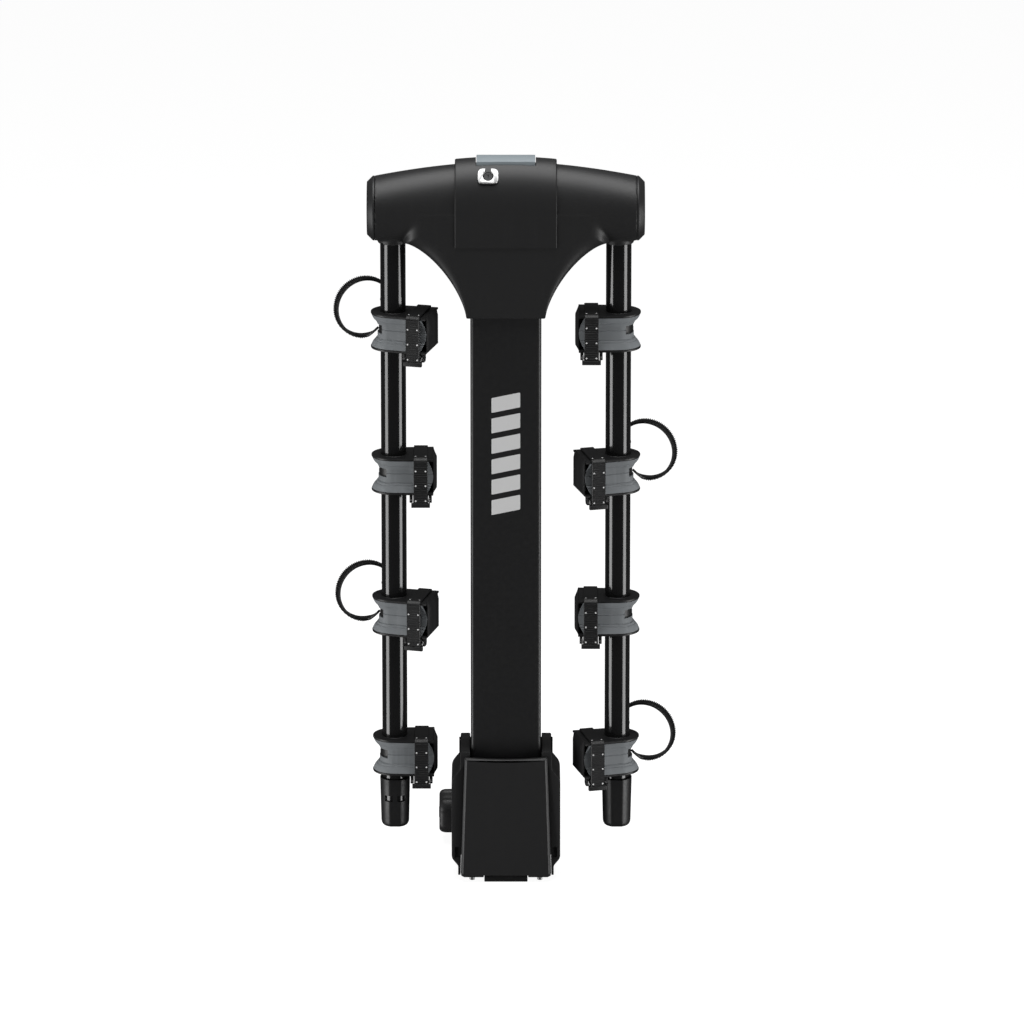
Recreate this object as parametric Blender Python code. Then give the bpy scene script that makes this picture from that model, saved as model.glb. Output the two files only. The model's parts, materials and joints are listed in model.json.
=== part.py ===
"""Hitch mounted bike rack: mast on a tilting foot, two arms folded down, eight frame cradles.

Metres, +Z up. The origin is where the hitch pin's axis crosses the tongue's centre line.
+Y runs towards the vehicle, -Y away from it, and X across. Run it in Blender 4.5.
"""
import math

import bmesh
import bpy
import numpy as np
from mathutils import Matrix

# Clearances
GAP = 0.0003               # between pieces that seat on each other
RUN = 0.0004               # round a piece that turns or slides
SPARE = 0.01               # how far a cutter passes beyond the piece that it cuts

# Hitch: tongue tube, adapter sleeve and pin
TONGUE_SIDE = 0.03175
TONGUE_WALL = 0.0032
TONGUE_END_Y = 0.080
ADAPTER_SIDE = 0.0508
ADAPTER_Y = (-0.045, 0.075)
PIN_RADIUS = 0.0079
KNOB_RADIUS = 0.0295
KNOB_FACE_X = -0.086
KNOB_DEPTH = 0.026
LOCK_CORE_RADIUS = 0.007

# Mast
MAST_Y = -0.130
MAST_WIDTH = 0.0889
MAST_DEPTH = 0.0508
MAST_WALL = 0.0025
MAST_CORNER = 0.004
MAST_FOOT_Z = -0.020
FOLD_Z = 0.837

# Foot: bracket, pivot bolt, covers and tilt latch
PLATE_THICKNESS = 0.005
PLATE_SIDE_GAP = 0.001
PLATE_TOP_Z = 0.068
PLATE_FRONT = 0.037        # bracket plate's reach in front of the pivot
PLATE_REAR = 0.036         # from the pivot back to the web
PLATE_FOOT_RADIUS = 0.026
WEB_THICKNESS = 0.006
PIVOT_BOLT_RADIUS = 0.0079
BOLT_HEAD_RADIUS = 0.0135
BOLT_HEAD_DEPTH = 0.0065
PIVOT_SLEEVE_WALL = 0.003
LATCH_RADIUS = 0.005
LATCH_HEIGHT = 0.0475      # latch bar above the pivot
LATCH_TRAVEL = 0.007
TILT_ANGLE = math.radians(36)
FRONT_COVER_Z = (-0.030, 0.130)
FRONT_COVER_HALF = (0.0575, 0.0526)    # half-width at the foot and at the top
FRONT_COVER_CORNER = 0.004
FRONT_COVER_SAG = 0.0025
FRONT_COVER_RIM = 0.0033
FRONT_COVER_DEPTH = 0.0067
FRONT_COVER_FACE = 0.045   # front face in front of the mast's centre
COVER_WALL = 0.003
COVER_SEAM = 0.0009         # between the front cover and the side covers
SIDE_COVER_HALF = 0.069
SIDE_COVER_FOOT_Z = -0.018
SIDE_COVER_CHAMFER = 0.0105
SIDE_COVER_LEDGE_Z = 0.118
SIDE_COVER_TAB_Z = 0.136
SIDE_SHOULDER_Z = (0.098, 0.112)
SIDE_TAB_GAP = 0.0015
SIDE_TAB_PROUD = 0.0073
SIDE_COVER_REAR = 0.042
SIDE_NOTCH = (0.0085, 0.012)            # width beside the front cover, and depth
SIDE_NOTCH_Z = (-0.006, 0.009)
COVER_BOLT_X = 0.043
COVER_BOLT_RADIUS = 0.0025
COVER_BOLT_HEAD = (0.0034, 0.0057)      # radius and depth
BOSS_X = (0.026, 0.036)
BOSS_Z = (0.100, 0.020)
BOSS_HALF = 0.005
RIB_THICKNESS = 0.0044
LEVER_HALF = 0.0275
LEVER_PIN = (-0.032, -0.025)           # lever's pin from the pivot: forwards, down
LEVER_ROD = -0.015         # pull rod's line in front of the pivot
LEVER_AXLE_RADIUS = 0.003
LEVER_AXLE_END = 0.005      # how far the axle stands out of the lever's sides
LEVER_GRIP_SET = 0.0035     # grip's front edge behind the cover's face
LEVER_GRIP_Z = -0.0365
LEVER_EYE = 0.0019          # top of the lever's end above its pin, where the pull rod seats
ROD_HALF = 0.002
ROD_WIDTH = 0.006
SPRING_FOOT_Z = 0.014       # the latch spring stands on the pivot sleeve

# Head and arms
ARM_SPACING = 0.282
ARM_RADIUS = 0.015875
ARM_WALL = 0.002
ARM_FOOT_Z = FOLD_Z - 0.799
CROSS_RADIUS = 0.01905
CROSS_WALL = 0.0025
CROSS_HALF = ARM_SPACING / 2 + 0.019
SLEEVE_RADIUS = 0.0254
BUSH_WALL = 0.0013
HEAD_RADIUS = 0.0404
HEAD_HALF = CROSS_HALF + 0.003
HEAD_END = HEAD_HALF + 0.010
HEAD_END_SCALE = 0.80
HEAD_RISE = HEAD_RADIUS + 0.0186       # top of the head above the fold axis, at the middle
HEAD_WALL = 0.003
SKIRT_HALF = 0.0494
SKIRT_DROP = HEAD_RADIUS + 0.0946      # foot of the skirt below the fold axis
SKIRT_SPREAD = HEAD_HALF - 0.036       # where the skirt's side curve meets the wing
SKIRT_LEAN = 0.0095        # how far the skirt's front falls back to its foot
SKIRT_REAR = 0.025
COLLAR_RADIUS = ARM_RADIUS + 0.002525
COLLAR_FOOT_Z = FOLD_Z - HEAD_RADIUS - 0.0036
CENTER_COVER_HALF = 0.0634
CENTER_COVER_PROUD = (0.0012, 0.0038)  # at the front foot and at the top
CENTER_COVER_DROP = 0.041
PADDLE_HALF = 0.0365
PADDLE_GAP = 0.0008
PADDLE_REACH = (-0.0163, 0.031)       # front and rear of the paddle from the axis
PADDLE_PROUD = 0.0082
PADDLE_WALL = 0.0024
PADDLE_PIN = (0.022, HEAD_RISE - 0.0068)           # paddle's axle from the fold axis
PADDLE_AXLE_RADIUS = 0.0015
PADDLE_EYE_RADIUS = 0.0022
LUG_X = (0.030, 0.0345)
LUG_HALF = 0.0028
LUG_FOOT = 0.006            # foot of the lug below the paddle's axle
SECTOR_RADIUS = 0.0345
SECTOR_RECESS = 0.031
SECTOR_HALF = 0.004
PAWL_HALF = 0.004
LOCK_X = -0.022
LOCK_ANGLE = math.radians(130.6)       # place of the lock plate round the head
LOCK_PLATE = (0.026, 0.021, 0.002)
LOCK_RADIUS = 0.006
CAP_Z = (ARM_FOOT_Z - 0.010, ARM_FOOT_Z + 0.054)
CAP_RADIUS = (ARM_RADIUS + 0.001825, ARM_RADIUS + 0.003525)

# Cradles
CRADLE_TOP_Z = FOLD_Z - 0.1556
CRADLE_PITCH = (CRADLE_TOP_Z - ARM_FOOT_Z - 0.0863) / 3
CRADLE_COUNT = 4
CRADLE_YAW = math.radians(15)
PLATE_EDGE = ARM_RADIUS + 0.012125
PLATE_LEAF = 0.0028
PAD_EDGE = ARM_RADIUS + 0.010625
PAD_HALF_HEIGHT = 0.0204
PAD_WAIST = 0.0062
PAD_FLARE = 0.0025         # how much deeper the saddle is at its inner end
HUB_WALL = 0.0018
SADDLE_INNER = 0.050
FRAME_DEPTH = 0.007
SPINE_HALF = 0.008
STRAP_OFFSET = 0.034
STRAP_HALF = 0.00875
STRAP_THICKNESS = 0.0024
BUCKLE_HALF = 0.0125
BUCKLE_FOOT = PAD_HALF_HEIGHT + 0.0176
LOOP_RADIUS = 0.0368
LOOP_CENTER = (0.036, 0.012, 0.025)    # outwards, back and up from the cradle's centre
LOOP_YAW = math.radians(18)
LOOP_HALF = 0.005
LOOP_THICKNESS = 0.0025

ROUND = 24                 # sides of a tube
PIVOT = np.array([0.0, MAST_Y, 0.0])
FOLD = np.array([0.0, MAST_Y, FOLD_Z])
ARM_X = ARM_SPACING / 2
MAST_HALF = MAST_WIDTH / 2
PLATE_INNER = MAST_HALF + PLATE_SIDE_GAP
PLATE_OUTER = PLATE_INNER + PLATE_THICKNESS
BODIES = {}


# ---------------------------------------------------------------- shapes
def circle(radius, sides=ROUND, center=(0.0, 0.0), start=0.0, sweep=2 * math.pi):
    """Points round a circle, or along an arc when sweep is less than a full turn."""
    full = abs(sweep) >= 2 * math.pi - 1e-9
    angles = start + np.linspace(0, sweep, sides, endpoint=not full)
    return np.stack([center[0] + radius * np.cos(angles), center[1] + radius * np.sin(angles)], 1)


def round_rect(width, height, radius, steps=3):
    """Rectangle about the origin with rounded corners."""
    corners = [(1, 1), (-1, 1), (-1, -1), (1, -1)]
    arcs = []
    for turn, (sx, sy) in enumerate(corners):
        center = (sx * (width / 2 - radius), sy * (height / 2 - radius))
        arcs.append(circle(radius, steps, center, turn * math.pi / 2, math.pi / 2))
    return np.concatenate(arcs)


def rect(x0, x1, y0, y1):
    """Rectangle between two corners."""
    return np.array([(x0, y0), (x1, y0), (x1, y1), (x0, y1)])


def lift(outline, axis, along):
    """Put a flat outline at a place along an axis: X takes (y, z), Y takes (x, z), Z takes (x, y)."""
    outline = np.asarray(outline, float)
    along = np.full(len(outline), along)
    order = {"X": (along, outline[:, 0], outline[:, 1]),
             "Y": (outline[:, 0], along, outline[:, 1]),
             "Z": (outline[:, 0], outline[:, 1], along)}
    return np.stack(order[axis], 1)


def loft(rings, capped=True):
    """Join rings of equal point counts with quads, and close both ends."""
    rings = [np.asarray(ring, float) for ring in rings]
    count = len(rings[0])
    faces = []
    for level in range(len(rings) - 1):
        for i in range(count):
            j = (i + 1) % count
            low, high = level * count, (level + 1) * count
            faces.append((low + i, low + j, high + j, high + i))
    if capped:
        faces.append(tuple(range(count)))
        faces.append(tuple((len(rings) - 1) * count + i for i in range(count)))
    return np.concatenate(rings), faces


def prism(outline, axis, low, high):
    """Extrude a flat outline along an axis."""
    return loft([lift(outline, axis, low), lift(outline, axis, high)])


def hollow_prism(outer, inner, axis, low, high):
    """Extrude a wall between two outlines with equal point counts."""
    rings = [lift(outer, axis, low), lift(outer, axis, high), lift(inner, axis, high),
             lift(inner, axis, low)]
    points, faces = loft(rings, capped=False)
    count = len(outer)
    for i in range(count):
        j = (i + 1) % count
        faces.append((3 * count + i, 3 * count + j, j, i))
    return points, faces


def ring(axis, center, inner, outer, low, high, sides=ROUND):
    """Tube about an axis through a flat centre."""
    return hollow_prism(circle(outer, sides, center), circle(inner, sides, center), axis, low, high)


def rod(axis, center, radius, low, high, sides=ROUND):
    """Round bar about an axis through a flat centre."""
    return prism(circle(radius, sides, center), axis, low, high)


def block(low, high):
    """Box between two corners."""
    return prism(rect(low[0], high[0], low[1], high[1]), "Z", low[2], high[2])


def moved(shape, offset=(0, 0, 0), turn=None):
    """Turn a shape by a matrix, then move it."""
    points, faces = shape
    if turn is not None:
        points = points @ np.array(turn).T
    return points + np.asarray(offset, float), faces


def mirrored(shape):
    """The same shape on the other side of X = 0."""
    points, faces = shape
    return points * np.array([-1.0, 1.0, 1.0]), faces


def ribbon(path, across, half, thickness):
    """Flat strap along a path; across is its width direction at each point."""
    path = np.asarray(path, float)
    along = np.gradient(path, axis=0)
    across = np.broadcast_to(np.asarray(across, float), path.shape)
    normal = np.cross(along, across)
    normal /= np.linalg.norm(normal, axis=1)[:, None]
    rings = []
    for point, side, out in zip(path, across * half, normal * thickness / 2):
        rings.append(np.array([point - side - out, point + side - out, point + side + out,
                               point - side + out]))
    return loft(rings)


# ---------------------------------------------------------------- objects
def finish(name, color, roughness, metallic=0.0):
    """Principled material with one colour."""
    material = bpy.data.materials.new(name)
    material.use_nodes = True
    shader = material.node_tree.nodes["Principled BSDF"]
    shader.inputs["Base Color"].default_value = (*color, 1.0)
    shader.inputs["Roughness"].default_value = roughness
    shader.inputs["Metallic"].default_value = metallic
    return material


def mesh_of(name, shapes):
    """One mesh from one or more closed shapes, faces pointing out."""
    work = bmesh.new()
    for points, faces in shapes:
        corners = [work.verts.new(point) for point in points]
        for face in faces:
            work.faces.new([corners[i] for i in face])
    bmesh.ops.recalc_face_normals(work, faces=work.faces)
    bmesh.ops.triangulate(work, faces=work.faces)
    mesh = bpy.data.meshes.new(name)
    work.to_mesh(mesh)
    work.free()
    return mesh


def combine(target, shape, operation):
    """Cut or join a shape into an object's mesh."""
    tool = bpy.data.objects.new("tool", mesh_of("tool", [shape]))
    bpy.context.collection.objects.link(tool)
    modifier = target.modifiers.new("combine", "BOOLEAN")
    modifier.operation = operation
    modifier.object = tool
    modifier.solver = "EXACT"
    bpy.context.view_layer.update()
    result = bpy.data.meshes.new_from_object(target.evaluated_get(bpy.context.evaluated_depsgraph_get()))
    target.modifiers.clear()
    target.data = result
    bpy.data.objects.remove(tool)


def body(name, position, parent=None, yaw=0.0):
    """Empty on a body's joint axis."""
    empty = bpy.data.objects.new(name + "_frame", None)
    bpy.context.collection.objects.link(empty)
    empty.rotation_euler = (0, 0, yaw)
    empty.location = np.asarray(position) - (BODIES[parent][1] if parent else 0)
    if parent:
        empty.parent = BODIES[parent][0]
    BODIES[name] = (empty, np.asarray(position, float))


def solid(name, shapes, material, owner, joins=(), cuts=(), added=(), bored=()):
    """One named object of a body: shapes, then joins and cuts, then what is added inside and bored."""
    piece = bpy.data.objects.new(name, mesh_of(name, shapes))
    bpy.context.collection.objects.link(piece)
    for operation, tools in (("UNION", joins), ("DIFFERENCE", cuts), ("UNION", added),
                             ("DIFFERENCE", bored)):
        for shape in tools:
            combine(piece, shape, operation)
    place(piece, material, owner)


def place(piece, material, owner, local=False):
    """Give a piece its finish and hang it on its body."""
    piece.data.materials.clear()
    piece.data.materials.append(material)
    piece.data.shade_smooth()
    piece.data.set_sharp_from_angle(angle=math.radians(35))
    empty, position = BODIES[owner]
    piece.parent = empty
    if not local:
        piece.matrix_parent_inverse = Matrix.Translation(-position)


def both_sides(shape):
    """A shape and its mirror image."""
    return [shape, mirrored(shape)]


# ---------------------------------------------------------------- hitch
def make_hitch(steel, black, plastic):
    """Tongue, adapter, and the pin with its knob and lock core."""
    web_back = MAST_Y + PLATE_REAR + WEB_THICKNESS
    pin_hole = rod("X", (0, 0), PIN_RADIUS + RUN, -0.06, 0.06)
    side = TONGUE_SIDE
    bore = side - 2 * TONGUE_WALL
    tongue = hollow_prism(round_rect(side, side, 0.003), round_rect(bore, bore, 0.001), "Y",
                          web_back + GAP, TONGUE_END_Y)
    solid("tongue_tube", [tongue], steel, "root", cuts=[pin_hole])
    inside = side + 2 * GAP
    sleeve = hollow_prism(round_rect(ADAPTER_SIDE, ADAPTER_SIDE, 0.003), round_rect(inside, inside, 0.003),
                          "Y",
                          *ADAPTER_Y)
    solid("hitch_adapter", [sleeve], steel, "root", cuts=[pin_hole])
    knob_back = KNOB_FACE_X + KNOB_DEPTH
    solid("hitch_pin", [rod("X", (0, 0), PIN_RADIUS, knob_back + GAP, ADAPTER_SIDE / 2 + 0.012)], steel,
          "pin")
    solid("hitch_knob", [knob_shape(knob_back)], plastic, "pin",
          cuts=[rod("X", (0, 0), LOCK_CORE_RADIUS + GAP, KNOB_FACE_X - 0.01, KNOB_FACE_X + 0.012)])
    core = rod("X", (0, 0), LOCK_CORE_RADIUS, KNOB_FACE_X - 0.0005, KNOB_FACE_X + 0.012 - GAP, 16)
    keyway = block((KNOB_FACE_X - 0.002, -0.0009, -0.0035), (KNOB_FACE_X + 0.003, 0.0009, 0.0035))
    solid("knob_lock_core", [core], black, "knob_lock", cuts=[keyway])


def knob_shape(back):
    """Five-lobed knob: the radius swells five times round, and the rim is rounded."""
    angles = np.linspace(0, 2 * math.pi, 40, endpoint=False)
    lobes = KNOB_RADIUS * (0.95 + 0.05 * np.cos(5 * angles))
    stations = [(KNOB_FACE_X, 0.80), (KNOB_FACE_X + 0.003, 0.94), (KNOB_FACE_X + 0.008, 1.0), (back, 0.97)]
    rings = []
    for x, scale in stations:
        rings.append(np.stack([np.full(40, x), scale * lobes * np.cos(angles),
                               scale * lobes * np.sin(angles)], 1))
    return loft(rings)


# ---------------------------------------------------------------- foot
def arc_window(radius_low, radius_high, angle, half):
    """Window swept about the pivot from straight up to an angle forwards."""
    steps = 9
    turns = np.linspace(0, angle, steps)
    outer = np.stack([-radius_high * np.sin(turns), radius_high * np.cos(turns)], 1)
    inner = np.stack([-radius_low * np.sin(turns), radius_low * np.cos(turns)], 1)[::-1]
    outer[0, 0] += half
    inner[-1, 0] += half
    ends = np.array([-math.cos(angle), -math.sin(angle)]) * half
    outer[-1] += ends
    inner[0] += ends
    return np.concatenate([outer, inner]) + PIVOT[1:]


def bracket_plate():
    """Outline of a bracket plate in (y, z), round under the pivot."""
    foot = circle(PLATE_FOOT_RADIUS, 9, (0, 0), math.pi, math.pi / 2)
    rear = PLATE_REAR
    edge = [(rear, -PLATE_FOOT_RADIUS), (rear, PLATE_TOP_Z), (-PLATE_FRONT, PLATE_TOP_Z),
            (-PLATE_FRONT, 0.020)]
    return np.concatenate([foot, edge]) + PIVOT[1:]


def make_bracket(steel):
    """U bracket on the tongue's front, and the pivot bolt through it."""
    plate = prism(bracket_plate(), "X", PLATE_INNER, PLATE_OUTER)
    web_y = MAST_Y + PLATE_REAR
    web = block((-PLATE_OUTER, web_y - 0.0001, -PLATE_FOOT_RADIUS),
                (PLATE_OUTER, web_y + WEB_THICKNESS, PLATE_TOP_Z))
    slack = LATCH_RADIUS + RUN
    window = arc_window(LATCH_HEIGHT - LATCH_TRAVEL - slack, LATCH_HEIGHT + slack, TILT_ANGLE, slack)
    bolt_hole = rod("X", PIVOT[1:], PIVOT_BOLT_RADIUS + GAP, -0.06, 0.06)
    solid("pivot_bracket", [web], steel, "root", joins=both_sides(plate),
          cuts=[prism(window, "X", -0.06, 0.06), bolt_hole])
    head_low = PLATE_OUTER + GAP
    shank = rod("X", PIVOT[1:], PIVOT_BOLT_RADIUS, -head_low - BOLT_HEAD_DEPTH / 2,
                head_low + BOLT_HEAD_DEPTH / 2)
    head = rod("X", PIVOT[1:], BOLT_HEAD_RADIUS, head_low, head_low + BOLT_HEAD_DEPTH, 6)
    solid("tilt_pivot_bolt", [shank], steel, "root", joins=both_sides(head))


def cover_half(z):
    """Half-width of the front cover at a height."""
    share = (z - FRONT_COVER_Z[0]) / (FRONT_COVER_Z[1] - FRONT_COVER_Z[0])
    return FRONT_COVER_HALF[0] + share * (FRONT_COVER_HALF[1] - FRONT_COVER_HALF[0])


def side_cover_outline(inset=0.0):
    """Front view (x, z) of the right side cover, or of its hollow when inset is the wall."""
    outer = SIDE_COVER_HALF - inset
    tab = PLATE_OUTER + SIDE_TAB_PROUD - inset
    top = SIDE_COVER_TAB_Z - inset
    foot = SIDE_COVER_FOOT_Z + inset
    ledge = SIDE_COVER_LEDGE_Z + inset
    tab_inner = MAST_HALF + SIDE_TAB_GAP + inset
    opening = COVER_SEAM - (2 * COVER_WALL if inset else 0)
    return np.array([(cover_half(foot) + opening, foot), (outer - SIDE_COVER_CHAMFER, foot),
                     (outer, foot + SIDE_COVER_CHAMFER), (outer, SIDE_SHOULDER_Z[0]),
                     (tab, SIDE_SHOULDER_Z[1]), (tab, top), (tab_inner, top), (tab_inner, ledge),
                     (cover_half(ledge) + opening, ledge)])


def make_side_covers(plastic):
    """Moulded cheeks outside the bracket plates, open to the rear and inwards."""
    front = MAST_Y - PLATE_FRONT - GAP
    rear = MAST_Y + SIDE_COVER_REAR
    shell = prism(side_cover_outline(), "Y", front, rear)
    hollow = prism(side_cover_outline(COVER_WALL), "Y", front + COVER_WALL, rear + SPARE)
    width, depth = SIDE_NOTCH
    low, high = SIDE_NOTCH_Z
    notch = block((cover_half(0) - COVER_WALL, front - SPARE, low),
                  (cover_half(0) + width, front + depth, high))
    cuts = [hollow, notch]
    for name, flip in (("left", True), ("right", False)):
        own = [mirrored(shape) if flip else shape for shape in [shell, *cuts]]
        solid("side_cover_" + name, own[:1], plastic, "root", cuts=own[1:])


def front_outline(inset):
    """Front view (x, z) of the front cover, narrower upwards, with cut lower corners."""
    low, high = FRONT_COVER_Z[0] + inset, FRONT_COVER_Z[1] - inset
    wide, narrow = FRONT_COVER_HALF[0] - inset, FRONT_COVER_HALF[1] - inset
    cut, sag = FRONT_COVER_CORNER, FRONT_COVER_SAG
    right = [(wide - cut, low), (wide, low + cut), (narrow, high), (narrow * 0.5, high - 0.75 * sag)]
    left = [(-x, z) for x, z in right[::-1]]
    return np.array(right + [(0, high - sag)] + left)


def make_front_cover(plastic, steel):
    """Tray in front of the mast's foot, with bosses back to the mast and ribs for the tilt lever."""
    face = MAST_Y - FRONT_COVER_FACE
    back = face + FRONT_COVER_DEPTH
    rings = [lift(front_outline(FRONT_COVER_RIM), "Y", face), lift(front_outline(0), "Y", face + COVER_WALL),
             lift(front_outline(0), "Y", back)]
    hollow = prism(front_outline(COVER_WALL), "Y", face + COVER_WALL, back + SPARE)
    pin_y, pin_z = PIVOT[1:] + LEVER_PIN
    foot = FRONT_COVER_Z[0]
    slot_half = LEVER_HALF + 2 * RUN
    lever_slot = block((-slot_half, face - SPARE, foot - SPARE),
                       (slot_half, pin_y + 2 * SPARE, foot + COVER_WALL + GAP))
    reach = slot_half + RIB_THICKNESS + SPARE / 2
    axle_hole = rod("X", (pin_y, pin_z), LEVER_AXLE_RADIUS + RUN, -reach, reach, 16)
    bolt_hole = rod("Z", (COVER_BOLT_X, pin_y), COVER_BOLT_RADIUS + GAP, foot - SPARE, foot + SPARE, 10)
    solid("front_cover", [loft(rings)], plastic, "mast", cuts=[hollow],
          added=cover_supports(face + COVER_WALL - GAP),
          bored=[lever_slot, axle_hole, *both_sides(bolt_hole)])
    head_radius, head_depth = COVER_BOLT_HEAD
    stations = [(foot - GAP - head_depth, head_radius), (foot - GAP, head_radius),
                (foot - GAP, COVER_BOLT_RADIUS),
                (MAST_FOOT_Z - RUN, COVER_BOLT_RADIUS)]
    bolt = loft([lift(circle(radius, 12, (COVER_BOLT_X, pin_y)), "Z", z) for z, radius in stations])
    solid("front_cover_bolt_right", [bolt], steel, "mast")
    solid("front_cover_bolt_left", [mirrored(bolt)], steel, "mast")


def cover_supports(inside):
    """Inside the front cover: bosses that seat on the mast, a floor, and ribs for the lever's axle."""
    mast_front = MAST_Y - MAST_DEPTH / 2 - GAP
    rear = PIVOT[1] + LEVER_PIN[0] + BOSS_HALF + COVER_WALL
    foot = FRONT_COVER_Z[0]
    floor_half = FRONT_COVER_HALF[0] - SPARE - GAP
    supports = [block((-floor_half, inside, foot), (floor_half, rear, foot + COVER_WALL - RUN))]
    for z in BOSS_Z:
        supports += both_sides(block((BOSS_X[0], inside, z - BOSS_HALF),
                                     (BOSS_X[1], mast_front, z + BOSS_HALF)))
    near = LEVER_HALF + 3 * RUN
    rib = block((near, inside, foot + GAP), (near + RIB_THICKNESS, rear, MAST_FOOT_Z - 2 * GAP))
    return supports + both_sides(rib)


def make_tilt_latch(black, steel):
    """Grip lever under the foot, the latch bar that it pulls down, and the bar's spring."""
    pin_y, pin_z = PIVOT[1:] + LEVER_PIN
    rod_y = PIVOT[1] + LEVER_ROD
    half = LEVER_HALF
    axle = rod("X", (pin_y, pin_z), LEVER_AXLE_RADIUS, -half - LEVER_AXLE_END, half + LEVER_AXLE_END, 16)
    solid("tilt_lever", [prism(lever_side(pin_y, pin_z, rod_y), "X", -half, half)], black, "tilt_lever",
          joins=[axle])
    bar_z = PIVOT[2] + LATCH_HEIGHT
    bar_half = PLATE_OUTER + GAP
    bar = rod("X", (PIVOT[1], bar_z), LATCH_RADIUS, -bar_half, bar_half, 20)
    side, grip = ROD_HALF, 0.6 * LATCH_RADIUS
    seat = pin_z + LEVER_EYE + GAP
    yoke = [(PIVOT[1], bar_z - grip), (PIVOT[1], bar_z + grip), (rod_y - side, bar_z + grip),
            (rod_y - side, seat),
            (rod_y + side, seat), (rod_y + side, bar_z - grip)]
    solid("tilt_latch_bar", [bar], steel, "tilt_latch",
          joins=[prism(yoke, "X", -ROD_WIDTH / 2, ROD_WIDTH / 2)])
    solid("tilt_latch_spring", [spring((0, PIVOT[1]), SPRING_FOOT_Z, bar_z - LATCH_RADIUS - 0.001)],
          steel, "tilt_latch")


def lever_side(pin_y, pin_z, rod_y):
    """Side view (y, z) of the grip lever: hooked grip in front, pin, and the end under the pull rod."""
    front = MAST_Y - FRONT_COVER_FACE + LEVER_GRIP_SET
    low = LEVER_GRIP_Z
    body, end = LEVER_AXLE_RADIUS, rod_y + 2 * ROD_HALF
    return [(pin_y - body, pin_z - body), (front, low + 0.001), (front + 0.001, low), (front + 0.006, low),
            (pin_y + 0.004, low + 0.006), (end, pin_z - body), (end, pin_z + 0.001), (pin_y, pin_z + body)]


def spring(center, low, high, radius=0.0052, wire=0.0007, turns=6, steps=12):
    """Round wire wound into a helix about a vertical line."""
    angles = np.linspace(0, 2 * math.pi * turns, turns * steps + 1)
    heights = np.linspace(low + wire, high - wire, len(angles))
    rings = []
    for angle, z in zip(angles, heights):
        out = np.array([math.cos(angle), math.sin(angle), 0])
        middle = np.array([center[0], center[1], z]) + radius * out
        rings.append([middle + wire * (math.cos(t) * out + math.sin(t) * np.array([0, 0, 1]))
                      for t in np.linspace(0, 2 * math.pi, 5, endpoint=False)])
    return loft(rings)


# ---------------------------------------------------------------- mast
def make_mast(steel, nylon):
    """Mast tube with the head sleeve welded across its top, its liner, pivot sleeve and latch sector."""
    width, depth = MAST_WIDTH, MAST_DEPTH
    outer = round_rect(width, depth, MAST_CORNER) + (0, MAST_Y)
    inner = round_rect(width - 2 * MAST_WALL, depth - 2 * MAST_WALL, MAST_CORNER - MAST_WALL) + (0, MAST_Y)
    tube = hollow_prism(outer, inner, "Z", MAST_FOOT_Z, FOLD_Z)
    sleeve = rod("X", FOLD[1:], SLEEVE_RADIUS, -MAST_HALF, MAST_HALF, 32)
    bush_outer = CROSS_RADIUS + RUN + BUSH_WALL
    bore = rod("X", FOLD[1:], bush_outer + GAP, -0.06, 0.06, 32)
    pivot_outer = PIVOT_BOLT_RADIUS + RUN + PIVOT_SLEEVE_WALL
    pivot_bore = rod("X", PIVOT[1:], pivot_outer + GAP, -0.06, 0.06)
    slack = LATCH_RADIUS + RUN
    slot_yz = rect(PIVOT[1] - slack, PIVOT[1] + slack, LATCH_HEIGHT - LATCH_TRAVEL - slack,
                   LATCH_HEIGHT + slack)
    solid("mast_tube", [tube], steel, "mast", joins=[sleeve],
          cuts=[bore, pivot_bore, prism(slot_yz, "X", -0.06, 0.06)])
    solid("pivot_sleeve", [ring("X", PIVOT[1:], PIVOT_BOLT_RADIUS + RUN, pivot_outer, -MAST_HALF,
                                MAST_HALF)],
          steel, "mast")
    liner_half = MAST_HALF + 0.001
    liner = ring("X", FOLD[1:], CROSS_RADIUS + RUN, bush_outer, -liner_half, liner_half, 32)
    solid("bearing_liner", [liner], nylon, "mast")
    solid("latch_sector", [prism(sector_outline() + FOLD[1:], "X", -SECTOR_HALF, SECTOR_HALF)], steel,
          "mast")


def sector_outline():
    """Half ring over the sleeve; its rim ramps down to a recess where the pawl travels."""
    recess_end = math.pi / 2 + math.asin((PAWL_HALF + RUN) / SECTOR_RECESS)
    recess = circle(SECTOR_RECESS, 14, (0, 0), 0.0, recess_end)
    ramp = SECTOR_RADIUS - SECTOR_RECESS
    rim_start = math.pi / 2 + math.asin((PAWL_HALF + RUN + ramp) / SECTOR_RADIUS)
    rim = circle(SECTOR_RADIUS, 12, (0, 0), rim_start, math.pi - rim_start)
    inner = circle(SLEEVE_RADIUS + GAP, 18, (0, 0), math.pi, -math.pi)
    return np.concatenate([recess, rim, inner])


# ---------------------------------------------------------------- head
def head_top(x):
    """Height of the head's top above the fold axis at x."""
    share = np.clip(np.abs(x) / HEAD_HALF, 0, 1)
    return HEAD_RISE + (HEAD_RADIUS - HEAD_RISE) * share ** 1.8


def head_section(x, grow=0.0, scale=1.0, sides=28):
    """Ring in (y, z) about the fold axis: round below, taller above."""
    angles = np.linspace(0, 2 * math.pi, sides, endpoint=False)
    flat = (HEAD_RADIUS + grow) * np.cos(angles)
    tall = np.where(np.sin(angles) > 0, head_top(x) + grow, HEAD_RADIUS + grow) * np.sin(angles)
    return scale * np.stack([flat, tall], 1) + FOLD[1:]


def barrel(half, grow):
    """The head's crosswise hull."""
    stations = np.array([-1, -0.8, -0.6, -0.4, -0.2, 0, 0.2, 0.4, 0.6, 0.8, 1]) * half
    return loft([lift(head_section(x, grow), "X", x) for x in stations])


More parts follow.
